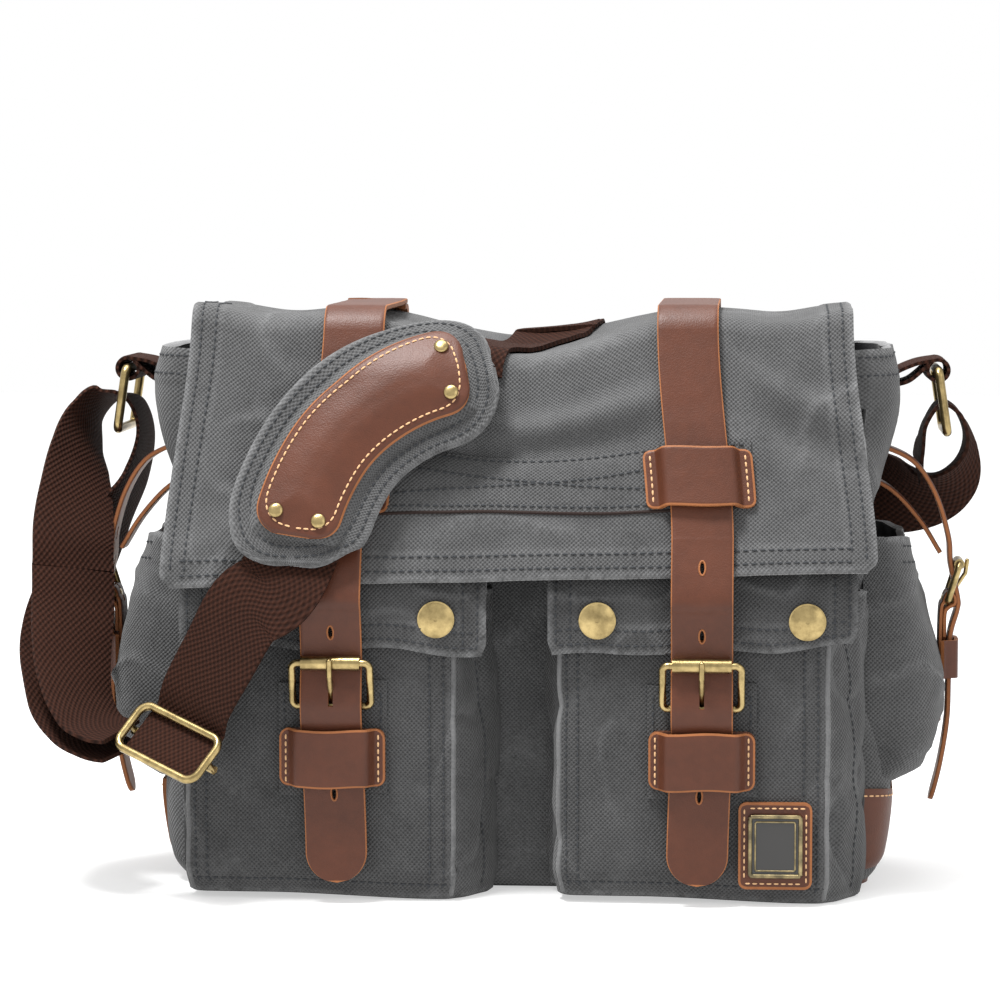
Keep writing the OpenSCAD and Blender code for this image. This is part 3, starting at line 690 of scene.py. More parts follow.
nz, nu = detail((150, 420), (80, 240))
body = Piece("body_cloth")
outer, along, z, rub = body_surface(nz, nu)
hem = 2.6 + 1.2 * step(z, BODY_TOP - 16, BODY_TOP - 14)[:, None]
outer[:, -1] = outer[:, 0]
body.slab(outer, hem, canvas, lining, canvas_worn, uv=pack(along, z[:, None]) / 1000, wrap=True, worn=rub)
floor_rings = np.stack([outer[0] * [1 - k, 1 - k, 0] + [0, 0, 1.5 + 0.5 * math.sin(math.pi * k)]
                        for k in np.linspace(0, 1, 24) ** 0.8])
body.slab(floor_rings, 2.4, canvas_dark, lining, canvas_dark, wrap=True)
for inset in (3.5, 11.0):
    loop = outer[nearest(z, BODY_TOP - inset)]
    n = loop / [HALF_W, HALF_D, np.inf]
    body.stitches(loop + unit(n) * 2.0, n, thread_dark, pitch=3.6, length=2.3)
# Upright seams at the four corners.
for sx, sy in ((-1, -1), (1, -1), (-1, 1), (1, 1)):
    line = outer[2:-16, nearest(np.hypot(outer[nz // 2, :, 0] - sx * 136, outer[nz // 2, :, 1] - sy * 49), 0)]
    body.stitches(line + [0, sy * 1.45, 0], (0, sy, 0), thread_dark, pitch=3.6, length=2.3)
    body.tube(line + [sx * 3.2, sy, 0], 0.9, canvas_dark, sides=6)
placed(body, "bag_body", "canvas", "body_shell", sharp=60)


# --- front pockets
def pocket_plan(half, back, front, count):
    """The pocket's wall seen from above: back edge, crease, side, corner, face, then the gusset at the other side."""
    path = [[-half - 4.0, back], [-half + 5.5, back - 12.5], [-half + 7.6, back - 16.5],
            [-half + 3.0, back - 22], [-half + 1.6, front + 10], [-half + 2.4, front + 3.2],
            [-half + 6.0, front + 0.4], [-half + 14, front - 0.2], [-half * 0.5, front - 0.6], [0, front - 0.7],
            [half * 0.5, front - 0.6], [half - 21, front - 0.2], [half - 13.5, front + 0.8],
            [half - 10.5, front + 3.6],
            [half - 6, front + 10.5], [half - 1.5, front + 19], [half + 2.4, back - 7], [half + 4.0, back]]
    return smooth_path(path, count)


def front_pocket(word, side):
    rim_z = 131.0
    n, m = detail((110, 220), (60, 130))
    plan = pocket_plan(64.0, -50.6, -82.6, m)
    along = lengths(plan)
    z = np.linspace(3.2, rim_z, n)
    fullness = (0.55 + 0.45 * np.clip(np.sin(np.linspace(0, math.pi, n)), 0, 1) ** 0.6)[:, None]
    foot = step(z, 1, 15)[:, None]
    x0, y0 = plan[:, 0], plan[:, 1]
    p = pack(x0 * (1 - 0.035 * (1 - foot)) + side * 79,
             -50.0 + (y0 + 50.0) * (1 - 0.16 * (1 - foot)) + 1.6 * (1 - fullness) * step(-y0, 76, 82),
             z[:, None] - 2.4 * step(x0, -30, 50) * (1 - step(z, 3, 40))[:, None])
    # the side walls fold inward towards the rim, and a little sag runs down each side
    fold = step(z, 60, 130)[:, None]
    side_wall = step(-y0, 54, 64) * (1 - step(-y0, 74, 80))
    p[..., 0] -= np.sign(x0) * (2.4 * fold - 1.2 * (1 - fold)) * side_wall
    crest = folds(p * [1.5, 1, 0.7], 30, 11.0 * side) * step(np.abs(x0), 24, 46)
    soft = 1.9 * bumps(p, 48, 4.0 + side) + bumps(p, 20, 8.0) + 0.35 * bumps(p, 9, 2.0) + 2.0 * crest
    outward = unit(np.stack([np.gradient(y0), -np.gradient(x0)], 1))
    under_patch = ridge(np.abs(x0), 0, 26)[None] * (1 - step(z, 92, 104))[:, None]
    facing = (0.6 + 0.4 * (1 - step(-y0, 78, 82))) * (1 - 0.95 * under_patch)
    p[..., :2] -= (soft * facing * step(z, 4, 20)[:, None])[..., None] * outward
    p[..., 1] = np.minimum(p[..., 1], -51.6 + 1.2 * step(-y0, 50, 51))
    piece = Piece(word + "_pocket_cloth")
    thick = 1.9 + step(z, 118, 120)[:, None]
    from_edge = np.minimum(rim_z - z, z - 3.0)[:, None]
    seam = np.maximum(ridge(x0, -62, 2.0), ridge(x0, 51.5, 2.5))
    rub = 0.4 * crest + 0.8 * (1 - step(from_edge, 0.5, 3.5)) + 0.5 * seam
    piece.slab(p, thick, *POCKET_SHADED_FACES, uv=pack(along, z[:, None]) / 1000, worn=np.clip(rub, 0, 1))
    # bottom of the pocket
    piece.slab(np.stack([p[0] * [1, 1 - k, 1] + [0, -50.8 * k, 0] for k in np.linspace(0, 1, 14)]), 1.6, canvas_dark)

    def upright(x, y):
        """The column of points that stands at x, y of the plan."""
        return p[:, nearest(np.hypot(x0 - x, y0 - y), 0)]

    # upright ridge seams at the front corners with two rows of stitches
    piece.stitches(upright(61.5, -65)[3:-2] + [0.9, -0.9, 0], (0.8, -0.6, 0.0), thread_dark, pitch=3.5)
    for sgn, row_x, seam_x in ((-1, -61.6, -61.6), (1, 50.5, 51.5)):
        for inset, lift in ((2.6, 1.2), (8.6, 1.3)):
            piece.stitches(upright(row_x - sgn * inset, -83)[3:-2] - [0, lift, 0], FRONT, thread_dark, pitch=3.5)
        piece.tube(upright(seam_x, -81.4)[1:-1] + [sgn * 0.8, -0.6, 0], 1.15, canvas_worn, sides=7)
    for height, lift, sel in ((119, 1.6, (np.abs(x0) < 58) & (y0 < -78)), (9, 1.25, y0 < -78)):
        piece.stitches(p[nearest(z, height)][sel] - [0, lift, 0], FRONT, thread_dark, pitch=3.5)
    placed(piece, "bag_body", "canvas", word + "_pocket", sharp=60)


for side, word in SIDES:
    front_pocket(word, side)


# --- flaps of the front pockets
def pocket_flap(word, side):
    cx = side * STRAP_X
    n, m = detail((90, 150), (50, 80))
    path = smooth_path([[-50.6, 149.6], [-58, 149.2], [-70, 147.4], [-79.6, 143.2], [-84.8, 136.6],
                        [-86.4, 129], [-86.7, 119], [-86.4, 108]], n)
    along = lengths(path)
    a = np.linspace(-1, 1, m)
    half = 65.0
    p = pack(cx + a * half, path[:, :1], path[:, 1:])
    tangent = unit(np.gradient(path, axis=0))
    out = pack(0 * a, tangent[:, 1:], -tangent[:, :1])
    reach = step(along, 20, along[-1])[:, None]
    drop = np.where(a * side > 0, 3.0, -2.0) * step(np.abs(a), 0.2, 1.0)
    p[..., 2] += reach * (drop + 1.1 * np.sin(a * 7 + side))
    crest = folds(p, 26, 3.0 * side)
    wave = 1.2 * bumps(p, 38, 6.0 + side) + 0.7 * bumps(p, 16, 1.0) + 1.0 * crest
    from_edge = np.minimum((half - np.abs(a) * half)[None], (along[-1] - along)[:, None])
    rub = 0.3 * crest + 0.8 * (1 - step(from_edge, 0.5, 3.5)) + 0.3 * ridge(from_edge, 11.5, 1.2)
    dip = -2.6 * ridge(np.abs(a), 0.98, 0.10)[None] * step(along, 8, 26)[:, None] * (1 - step(along, 34, 52))[:, None]
    around_caps = ridge(np.abs(a) * half, 44, 11)[None] * step(along, 44, 54)[:, None]
    quiet = step(along, 2, 16)[:, None] * (1 - 0.8 * around_caps)
    p += out * (wave * quiet + dip)[..., None]
    round_low = (0.030 * step(along, along[-1] - 8, along[-1]) ** 2)[:, None]
    p[..., 0] = cx + (p[..., 0] - cx) * (1 - round_low)
    piece = Piece(word + "_pocket_flap_cloth")
    hem = np.maximum(step(np.abs(a) * half, 53, 55), step(along, along[-1] - 13, along[-1] - 11)[:, None])
    piece.slab(p, 1.6 + 0.9 * hem, *POCKET_SHADED_FACES, flip=True, uv=pack(p[..., 0], along[:, None]) / 1000,
               worn=np.clip(rub, 0, 1))
    for inset in (3.6, 10.0):
        rows = [np.s_[nearest(along, along[-1] - inset), 4:-4]]
        rows += [np.s_[6:-3, nearest(a * half, sgn * (half - inset))] for sgn in (-1, 1)]
        for part in rows:
            piece.stitches(p[part] + out[part] * 1.3, out[part], thread_dark, pitch=3.5)
    placed(piece, word + "_pocket_flap", "canvas", word + "_pocket_flap", sharp=60)


for side, word in SIDES:
    pocket_flap(word, side)

# --- shoulder pad
def pad_world(x, z, out):
    """Pad coordinates (flap's own X and Z, height above its middle plane) to the row frame."""
    x, z, out = np.moveaxis(pack(x, z, out), -1, 0)
    bend_from, radius = -34.0, 44.0
    turn = np.clip(z - bend_from, 0, None) / radius
    zz = np.minimum(z, bend_from) + (radius + out - 10) * np.sin(turn)
    yy = -out + (radius + out - 10) * (1 - np.cos(turn))
    ct, st = math.cos(TILT), math.sin(TILT)
    return pack(x, FOLD[0] + yy * ct + zz * st, FOLD[1] - yy * st + zz * ct)


PAD_LINE = [[-93, -112], [-92, -98], [-86, -78], [-75.5, -59], [-60, -44], [-40, -33], [-11, -25]]


def pad_grid(half, trim, end, n, m, power=2.5):
    """Grid over the bent pad's outline: returns x, z and how far each point is from the rim."""
    line = smooth_path(PAD_LINE, 600)
    s = lengths(line)
    k = np.linspace(0, 1, n)
    at = trim + (s[-1] - 2 * trim) * (0.3 - 0.3 * np.cos(math.pi * k) + 0.4 * k)
    p = np.stack([np.interp(at, s, line[:, i]) for i in (0, 1)], 1)
    t = unit(np.gradient(p, axis=0))
    side = np.stack([-t[:, 1], t[:, 0]], 1)
    d = np.minimum(at - at[0], at[-1] - at)
    w = np.maximum(half * (1 - np.clip(1 - d / end, 0, 1) ** power) ** (1 / power), 0.4)[:, None]
    v = np.linspace(-1, 1, m)
    x, z = [p[:, i:i + 1] + side[:, i:i + 1] * w * v for i in (0, 1)]
    return x, z, np.minimum((1 - np.abs(v)) * w, (d * 0.9)[:, None]), at


def pad_top(x, z, rim):
    height = 3.6 + 3.4 * step(rim, 8.5, 14) + 2.2 * step(rim, 12, 28) - 1.3 * step(-rim, -1.6, 0)
    return height + 0.35 * bumps(pack(x, z, 0), 21, 3.0) * step(rim, 1, 6)


pad = Piece("pad_cloth")
n, m = detail((150, 80), (80, 44))
x, z, rim, at = pad_grid(30.5, 0, 27, n, m)
high = pad_top(x, z, rim)
pad.slab(pad_world(x, z, PAD_BASE + high / 2), high, *CANVAS_FACES, flip=True,
         worn=0.7 * (1 - step(rim, 0.5, 3.0)), uv=pack(at[:, None], np.linspace(-30, 30, m)) / 1000)


def pad_loop(inset, trim, end, half):
    """Closed line on the pad, a given distance inside an outline."""
    x, z, _, _ = pad_grid(half - inset, trim + inset, end, 90, 3)
    return smooth_path(pack(*[np.r_[c[:, 0], c[::-1, 2], c[:1, 0]] for c in (x, z)])[::2], 700)


def loop_rim(loop):
    """Distance of each point from the pad's rim, by its nearest grid point."""
    gx, gz, grim, _ = pad_grid(30.5, 0, 27, 90, 41)
    d = (gx.reshape(-1)[None] - loop[:, :1]) ** 2 + (gz.reshape(-1)[None] - loop[:, 1:]) ** 2
    return grim.reshape(-1)[np.argmin(d, axis=1)]


for inset, lift in ((3.2, 0.15), (7.2, 0.1)):
    loop = pad_loop(inset, 0, 27, 30.5)
    rim = loop_rim(loop)
    rim = np.convolve(np.r_[rim[-15:], rim, rim[:15]], np.ones(31) / 31, "valid")
    out = PAD_BASE + pad_top(*loop.T, rim) + lift
    line = pad_world(*loop.T, out)
    pad.stitches(line, pad_world(*loop.T, out + 1) - line, thread_dark, pitch=3.5, length=2.3)
pad_obj = placed(pad, "flap_front", "canvas", "shoulder_pad", sharp=60)

overlay = Piece("pad_overlay")
n, m = detail((110, 44), (60, 24))
x, z, rim_in, at = pad_grid(18.0, 11.5, 13, n, m, 2.8)
high = pad_top(x, z, np.minimum(12.0 + rim_in, 28))
thick = 1.9 - 0.7 * step(-rim_in, -1.2, 0)
overlay.slab(pad_world(x, z, PAD_BASE + high + 0.8), thick, *LEATHER_FACES, flip=True, raw=1)
loop = pad_loop(3.0, 11.5, 13, 18.0)
line = pad_world(*loop.T, PAD_BASE + pad_top(*loop.T, 15.0) + 1.95)
overlay.stitches(line, pad_world(*loop.T, 40.0) - line, thread_tan, pitch=3.1, width=0.75, lift=0.02)
placed(overlay, "flap_front", "leather", "pad_leather")

rivets = Piece("pad_rivet_heads")
corners = pad_grid(9.5, 19, 1.0, 60, 3)[:2]
for row in (1, -2):
    for col in (0, 2):
        at = corners[0][row, col], corners[1][row, col]
        base = pad_world(*at, PAD_BASE + pad_top(*at, 22.0) + 1.6)
        up = unit(pad_world(*at, 60.0) - base)
        a = unit(np.cross(up, [0.2, 0.9, 0.3]))
        b = np.cross(up, a)
        ang = np.linspace(0, 2 * math.pi, 28, endpoint=False)[:, None]
        rings = [base + up * h + r * (np.cos(ang) * a + np.sin(ang) * b)
                 for r, h in ((3.1, -0.3), (3.1, 0.25), (2.7, 0.7), (1.8, 1.05), (0.8, 1.2))]
        faces = [[i * 28 + k, i * 28 + (k + 1) % 28, i * 28 + 28 + (k + 1) % 28, i * 28 + 28 + k]
                 for i in range(4) for k in range(28)] + [[112 + k for k in range(28)]]
        rivets.add(np.concatenate(rings), faces, brass)
placed(rivets, "flap_front", "antique_brass", "pad_rivets")


# --- webbing of the shoulder strap
def ribbon(piece, points, widths, count, width=WEB_W, start=0.0):
    """A woven band whose width runs along the matching directions."""
    both = smooth_path(np.hstack([np.asarray(points, float), unit(np.asarray(widths, float)) * 30]), count)
    c, w = both[:, :3], both[:, 3:]
    for _ in range(3):
        w[1:-1] = (w[:-2] + 2 * w[1:-1] + w[2:]) / 4
    d = unit(np.gradient(c, axis=0))
    u = unit(w - d * np.sum(w * d, 1, keepdims=True))
    v = np.cross(d, u)
    across = np.linspace(-1, 1, 15)
    width = np.broadcast_to(width, (count,))[:, None, None]
    s = lengths(c) + start
    bow = 0.5 * bumps(pack(s, 0, 0), 34, 5.5)[:, None] * across
    grid = c[:, None] + u[:, None] * across[:, None] * width / 2 + v[:, None] * bow[..., None]
    piece.slab(grid, 1.9 * (1 - 0.25 * (np.abs(across) > 0.99)), webbing, uv=pack(across * 19, s[:, None]) / 1000)


front_web = Piece("webbing_front")
slider_mid = np.array([-145.3, -97, 67.5])
slider_side = np.array([0.8050, -0.5233, -0.2818])
slider_down = np.array([-0.5300, -0.4160, -0.7400])
ribbon(front_web, [pad_world(-86.0, -84.0, 8.4), pad_world(-92.0, -102.0, 8.6), pad_world(-100.0, -121.0, 9.4),
                   [-113, -101.4, 126], [-124, -100, 107], [-134, -95.6, 89],
                   slider_mid - slider_down * 14, slider_mid - slider_down * 7, slider_mid + slider_down * 9],
       [[0.86, -0.16, -0.46], [0.84, -0.16, -0.48], [0.82, -0.26, -0.47], [0.79, -0.4, -0.45], [0.76, -0.46, -0.44],
        [0.77, -0.52, -0.37], slider_side, slider_side, slider_side], 170)
placed(front_web, "flap_front", "webbing", "web_front")

top_web = Piece("webbing_top")
rows, cols = np.linspace(3.0, 112.0, 130)[:, None], np.linspace(-WEB_W / 2, WEB_W / 2, 15)
centre = 11 - 38 * step(rows, 0, 112)
top_web.slab(flap_point(centre + cols, rows) + flap_normal(centre, rows) * 2.9, 1.9, webbing,
             uv=pack(cols, rows) / 1000)
placed(top_web, ("flap_top", "flap_front"), "webbing", "web_top", sharp=60, **AT_FOLD)

LOOP = [[-169, -80, 71], [-176, -78, 71.8], [-184, -72, 75.5], [-190, -65, 83], [-194, -57, 94],
        [-196, -48, 107], [-197, -38, 122], [-198, -31, 136], [-199, -25, 150], [-199.5, -12, 166],
        [-200, 3, 182], [-199.5, 17, 195], [-196, 25, 205], [-187.5, 27, 209.5], [-179, 27, 206],
        [-175, 27.5, 192], [-179, 25, 173], [-187, 18, 156], [-196, 5, 138], [-202, -11, 120],
        [-204, -28, 104], [-202, -43, 90], [-197, -56, 77], [-188, -67, 68], [-178, -74, 63.5],
        [-169, -77, 62]]
LOOP_WIDTH = [[0.15, 0.97, 0.1], [0.17, 0.97, 0.12], [0.25, 0.95, 0.15], [0.38, 0.9, 0.2], [0.52, 0.8, 0.22],
              [0.65, 0.72, 0.2], [0.76, 0.62, 0.17], [0.8, 0.58, 0.15], [0.76, 0.64, 0.1], [0.6, 0.8, 0.08],
              [0.42, 0.9, 0], [0.26, 0.96, -0.2], [0.12, 0.97, -0.22], [0, 1, -0.1], [0, 1, 0], [0.03, 1, 0],
              [0.15, 0.97, 0], [0.3, 0.95, 0], [0.45, 0.88, 0.1], [0.55, 0.8, 0.2], [0.55, 0.78, 0.25],
              [0.45, 0.85, 0.25], [0.33, 0.9, 0.22], [0.25, 0.95, 0.17], [0.18, 0.97, 0.12], [0.15, 0.97, 0.1]]
upper, lower = Piece("webbing_loop_upper"), Piece("webbing_loop_lower")
first, last = 7, 18
ribbon(lower, LOOP[:first + 1], LOOP_WIDTH[:first + 1], 90)
pinch = WEB_W - 3.5 * ridge(np.linspace(0, 1, 170), 0.52, 0.2)
ribbon(upper, LOOP[first:last + 1], LOOP_WIDTH[first:last + 1], 170, width=pinch, start=90)
ribbon(lower, LOOP[last:], LOOP_WIDTH[last:], 110)
placed(upper, ("bag_body", "flap_top"), "webbing", "web_loop", sharp=60,
       start=(-0.1975, 0.006, 0.186), end=(-0.1975, -0.028, 0.138))
placed(lower, ("flap_top", "flap_front"), "webbing", "web_loop", sharp=60,
       start=(-0.198, -0.033, 0.130), end=(-0.176, -0.076, 0.075))

back_web = Piece("webbing_back")
ribbon(back_web, [[9.5, 37.5, 238.9], [11.5, 44.5, 239.4], [13, 53.2, 237.6], [15, 57, 229], [25, 60.5, 217],
                  [45, 66, 201], [78, 71, 184], [116, 72, 172], [148, 67, 165], [169, 57, 164], [183, 46, 170],
                  [190.5, 36, 181], [193, 29.5, 193], [189.5, 27.5, 203], [181.8, 27, 207], [175.5, 27.5, 198],
                  [173.5, 29, 187], [172.5, 33, 177]],
       [[1, 0, 0.1], [1, 0, 0.1], [1, 0, 0.2], [1, 0, 0.4], [0.85, 0, 0.6], [0.65, 0, 0.8], [0.35, 0, 0.95],
        [0.15, 0.05, 1], [0, 0, 1], [-0.15, -0.4, 0.9], [-0.18, -0.72, 0.62], [-0.12, -0.94, 0.3], [0, -1, 0.05],
        [0, -1, 0],
        [0, -1, 0], [0, -1, 0.05], [0.05, -1, 0.1], [0.1, -1, 0.2]], 320,
       width=WEB_W - 4.5 * step(np.linspace(0, 1, 320), 0.70, 0.80))
AT_HINGE = dict(start=(0, 0.0535, 0.2360), end=(0, 0.0480, 0.2440))
placed(back_web, ("bag_body", "flap_top"), "webbing", "web_back", sharp=60, **AT_HINGE)

# --- side pockets
def side_pocket(word, side):
    n, m = detail((90, 120), (50, 70))
    z = np.linspace(47, 153, n)
    reach = np.interp(z, [47, 52, 60, 74, 90, 125, 153], [160, 170, 177, 181.5, 181, 173, 163.5])
    a = np.linspace(-1, 1, m)
    half = 42.0 + 4.0 * step(z, 55, 85) - 3.0 * step(z, 110, 150)
    power = 3.4
    bulge = (1 - np.abs(a) ** power) ** (1 / power)
    wall = 146.2
    p = pack(wall + (reach[:, None] - wall) * bulge, half[:, None] * np.sign(a) * np.abs(a) ** 0.92,
             z[:, None] - 3.0 * np.cos(a * math.pi / 2) * step(z, 120, 153)[:, None])
    crest = folds(p, 30, 5.0)
    soft = 2.2 * bumps(p, 34, 3.0 * side) + 1.2 * bumps(p, 15, 6.0) + 0.4 * bumps(p, 8, 1.0) + 2.0 * crest
    under_belt = ridge(np.abs(p[..., 1]), 0, 14)
    p[..., 0] = side * np.maximum(p[..., 0] + soft * bulge * (1 - 0.85 * under_belt), wall)
    piece = Piece(word + "_side_pocket_cloth")
    piece.slab(p, 1.8 + step(z, 139, 141)[:, None], *CANVAS_FACES, flip=side < 0,
               uv=pack(lengths(p[n // 2]), z[:, None]) / 1000,
               worn=0.35 * crest + 0.8 * step(z, 150.0, 152.5)[:, None])
    base = np.stack([p[0] * [1 - k, 1, 1] + [wall * side * k, 0, 4.5 * k] for k in np.linspace(0, 1, 10)])
    piece.slab(base, 1.6, canvas_dark, flip=side < 0)
    out = pack(side * bulge, np.sign(a) * 0.6, 0)[6:-6]
    for height in (142.0, 149.5):
        piece.stitches(p[nearest(z, height), 6:-6] + unit(out) * 1.5, out, thread_dark, pitch=3.5)
    placed(piece, "bag_body", "canvas", word + "_side_pocket", sharp=60)


for side, word in SIDES:
    side_pocket(word, side)


# --- side belts and their tabs
def belt(piece, path, width, thick, side, holes=(), tip=0.0):
    """A leather strip whose width runs along Y, following points in X and Z."""
    p = smooth_path(np.array([[q[0], 0, q[1]] for q in path], float), 220)
    s = lengths(p)
    cols = np.array([-1, -0.94, -0.82, -0.5, -0.14, 0.14, 0.5, 0.82, 0.94, 1]) * width / 2
    narrow = round_tip(s, tip) if tip else np.ones(len(p))
    grid = p[:, None] + cols[None, :, None] * narrow[:, None, None] * np.array([0, 1.0, 0])
    grid[..., 1] += (0.8 * bumps(pack(s, 0, 0), 40, 7.0 + side))[:, None]
    grid[..., 0] *= side
    keep = np.ones((len(p) - 1, len(cols) - 1), bool)
    mid = (s[1:] + s[:-1]) / 2
    for at, h in holes:
        keep[np.abs(mid - at) < h, 4] = False
    piece.slab(grid, thick * np.array([[0.6, 0.92, 1, 1, 1, 1, 1, 1, 0.92, 0.6]]), *LEATHER_FACES, keep=keep,
               flip=side > 0)


side_belts = Piece("side_belts")
side_tab = Piece("side_tab_leather")
for side in (-1, 1):
    path = [[147.5, 184], [152, 187.5], [158, 188.5], [170, 182], [179, 168], [184.5, 150], [185.6, 138],
            [188.8, 123],
            [188.6, 118], [185.6, 106], [185.1, 88], [184.6, 70], [181.6, 50], [177.5, 33]]
    belt(side_belts, path, 15, 2.1, side, holes=((62, 3.0), (77, 4.6), (134, 3.0)), tip=7.5)
    belt(side_belts, [[147.5, 177], [160, 170], [172, 157], [180.8, 143]], 15, 2.0, side)
    belt(side_tab,
         [[180.9, 69], [181.0, 95], [181.4, 117], [182.6, 121.5], [184.2, 125.2], [187.2, 124], [187.4, 120.6],
                    [184.6, 118.9], [183.1, 116], [183.0, 106]],
         16, 1.7, side, holes=((54, 4.2),))
    rows = np.linspace(88.2, 104.8, 14)
    loop = smooth_path([[181.9, -13.2], [183.2, -11.4], [186.4, -10.0], [188.0, -8.2], [188.4, 0], [188.0, 8.2],
                        [186.4, 10.0], [183.2, 11.4], [181.9, 13.2]], 60)
    grid = pack(loop[:, 0] * side, loop[:, 1], rows[:, None])
    side_tab.slab(grid, 1.7, *LEATHER_FACES, flip=side < 0)
placed(side_belts, "bag_body", "leather", "side_straps")
placed(side_tab, "bag_body", "leather", "side_tabs")

# --- webbing tabs that hold the rings
tabs = Piece("ring_tab_webbing")
for side in (-1, 1):
    ang = np.radians(np.linspace(100, -235, 44))
    eye = np.stack([180 + 4.7 * np.cos(ang), 222 + 4.7 * np.sin(ang)], 1)
    path = np.vstack([[[151, 191], [153, 202], [154.5, 211.5], [160, 219.8], [170, 224.8]], eye,
                      [[168, 217.6], [159, 214.6], [155, 209]]])
    pts = np.stack([path[:, 0], 27 + 0 * path[:, 0], path[:, 1]], 1)
    ribbon(tabs, pts * [side, 1, 1], np.broadcast_to([0, 1.0, 0], pts.shape), 170, width=37)
placed(tabs, "bag_body", "webbing", "ring_tabs")

# --- leather trim around the bottom corners
trim = Piece("corner_leather")
loop, along = ring_path(900, 147, 50, 20)
outer_n = unit(loop / [147, 50])
for side in (-1, 1):
    sel = (loop[:, 0] * side > 110) & (loop[:, 1] > (-49.0 if side > 0 else -26.0))
    q = loop[sel]
    nn = outer_n[sel]
    order = np.argsort(np.arctan2(q[:, 1], q[:, 0] * side - 100))
    q, nn = q[order], nn[order]
    rows = np.linspace(2.0, 45.0, 30)
    foot = 5.5 * (1 - step(rows, 4, 18)) ** 2
    grid = np.stack([np.column_stack([q + nn * (2.4 - f), np.full(len(q), r)]) for r, f in zip(rows, foot)])
    grid[..., 0] += side * corner_belly(grid[..., 0], grid[..., 2])
    grid[..., 2] += 2.2 * np.sin(grid[..., 1] / 16.0) * step(grid[..., 2], 30, 45)
    trim.slab(grid, 1.8, *LEATHER_FACES, flip=side < 0)
    line = grid[-3] + np.column_stack([nn * 0.95, np.zeros(len(q))])
    trim.stitches(line, np.column_stack([nn, np.zeros(len(q))]), thread_tan, pitch=3.1, width=0.7)
placed(trim, "bag_body", "leather", "leather_corners", sharp=60)

# --- lower strap keepers and patches on the pockets
patches = Piece("pocket_patches")
for side in (-1, 1):
    xs, zs = np.linspace(-23, 23, 40), np.linspace(46, 94, 40)
    xx, zz = np.meshgrid(xs, zs)
    cx, y = side * STRAP_X, -85.7
    # the patches take the pockets' darker canvas, as painted shade
    patches.slab(pack(xx + cx, 0.3 * np.sin(xx / 7) - 84.9, zz + 0.8 * np.sin(xx / 9)), 1.2, canvas_pocket_shaded,
                 uv=pack(xx, zz) / 1000)
    for start, end in (((-20.5, 48), (-20.5, 92)), ((20.5, 48), (20.5, 92)), ((-20, 91.5), (20, 91.5))):
        patches.row((cx + start[0], y, start[1]), (cx + end[0], y, end[1]), 60, FRONT, thread_dark, pitch=3.5)
placed(patches, "bag_body", "canvas", "buckle_patches", sharp=60)

for side, word in SIDES:
    tab = Piece(word + "_tab_leather")
    xx, zz = round_grid(44.8, 24.8, 4.0, 52, 32)
    zz = zz + 62
    # back layer, then the keeper that bridges over the strap
    cx = side * STRAP_X
    edge = 1 - 0.35 * ((np.abs(xx) > 21.9) | (zz > 74) | (zz < 50))
    tab.slab(pack(xx + cx, -86.4, zz), 1.4 * edge, *LEATHER_FACES)
    over = 6.0 * (1 - step(np.abs(xx), 13.8, 18.6)) + 0.5 * (1 - (xx / 15) ** 2) * (np.abs(xx) < 15)
    wob = 0.35 * np.sin(xx / 5.0 + side) + 0.3 * np.sin(zz / 6.0)
    tab.slab(pack(xx + cx, -87.9 - over, zz + wob), 1.8 * edge, *LEATHER_FACES, raw=1)
    for x in (cx - 19.6, cx + 19.6):
        tab.row((x, -88.95, 51.4), (x, -88.95, 72.8), 40, FRONT, thread_tan, pitch=3.0, length=2.1, width=0.8)
    # neck that wraps the buckle's lower bar, split for the prong
    fold = smooth_path([[-86.2, 72], [-86.1, 79], [-85.2, 84], [-86.3, 87.0], [-88.6, 87.0], [-90.2, 84.6],
                        [-89.9, 81.6],
                        [-88.6, 79.6], [-88.0, 76], [-88.0, 72]], 60)
    cols = np.array([-11, -10.6, -9.8, -6, -2.3, 2.3, 6, 9.8, 10.6, 11])
    keep = np.ones((59, 9), bool)
    keep[(fold[:-1, 1] > 79.6), 4] = False
    tab.slab(pack(cols + cx, fold[:, :1], fold[:, 1:]), 1.5, *LEATHER_FACES, keep=keep)
    placed(tab, "flap_front", "leather", word + "_buckle_tab")

# --- badge: stitched leather patch and a plain bordered plate
badge_patch = Piece("badge_leather")
bx, bz, by = 109.0, 26.0, -85.4


def round_box(cx, cz, w, h, r, y, count=33):
    """Grid of a rounded rectangle facing -Y."""
    x, z = round_grid(w, h, r, count, count)
    return pack(x + cx, y, z + cz)


badge_patch.slab(round_box(bx, bz, 31, 37, 3.5, by), 1.9, *LEATHER_FACES, raw=1)
for x0, z0, x1, z1 in ((-13, -16, 13, -16), (13, -16, 13, 16), (13, 16, -13, 16), (-13, 16, -13, -16)):
    badge_patch.row((bx + x0, by - 1.1, bz + z0), (bx + x1, by - 1.1, bz + z1), 40, FRONT, thread_tan,
                    pitch=3.0, length=2.0, width=0.7)
placed(badge_patch, "bag_body", "leather", "badge_patch")

plate = Piece("badge_face")
plate.slab(round_box(bx, bz, 22, 26, 1.0, by - 1.5), 1.0, field_dark, brass_dark, brass_dark)
for w, h, r in ((21.2, 25.2, 1.0), (16.8, 20.8, 0.42)):
    corner = [[-w / 2, -h / 2], [w / 2, -h / 2], [w / 2, h / 2], [-w / 2, h / 2]]
    path = []
    for i in range(4):
        a, b = np.array(corner[i]), np.array(corner[(i + 1) % 4])
        for k in np.linspace(0.03, 0.97, 24):
            q = a + (b - a) * k
            path.append([bx + q[0], by - 2.05, bz + q[1]])
    plate.tube(path, r, brass_dark, sides=8, closed=True)
placed(plate, "bag_body", "badge_metal", "badge_plate")

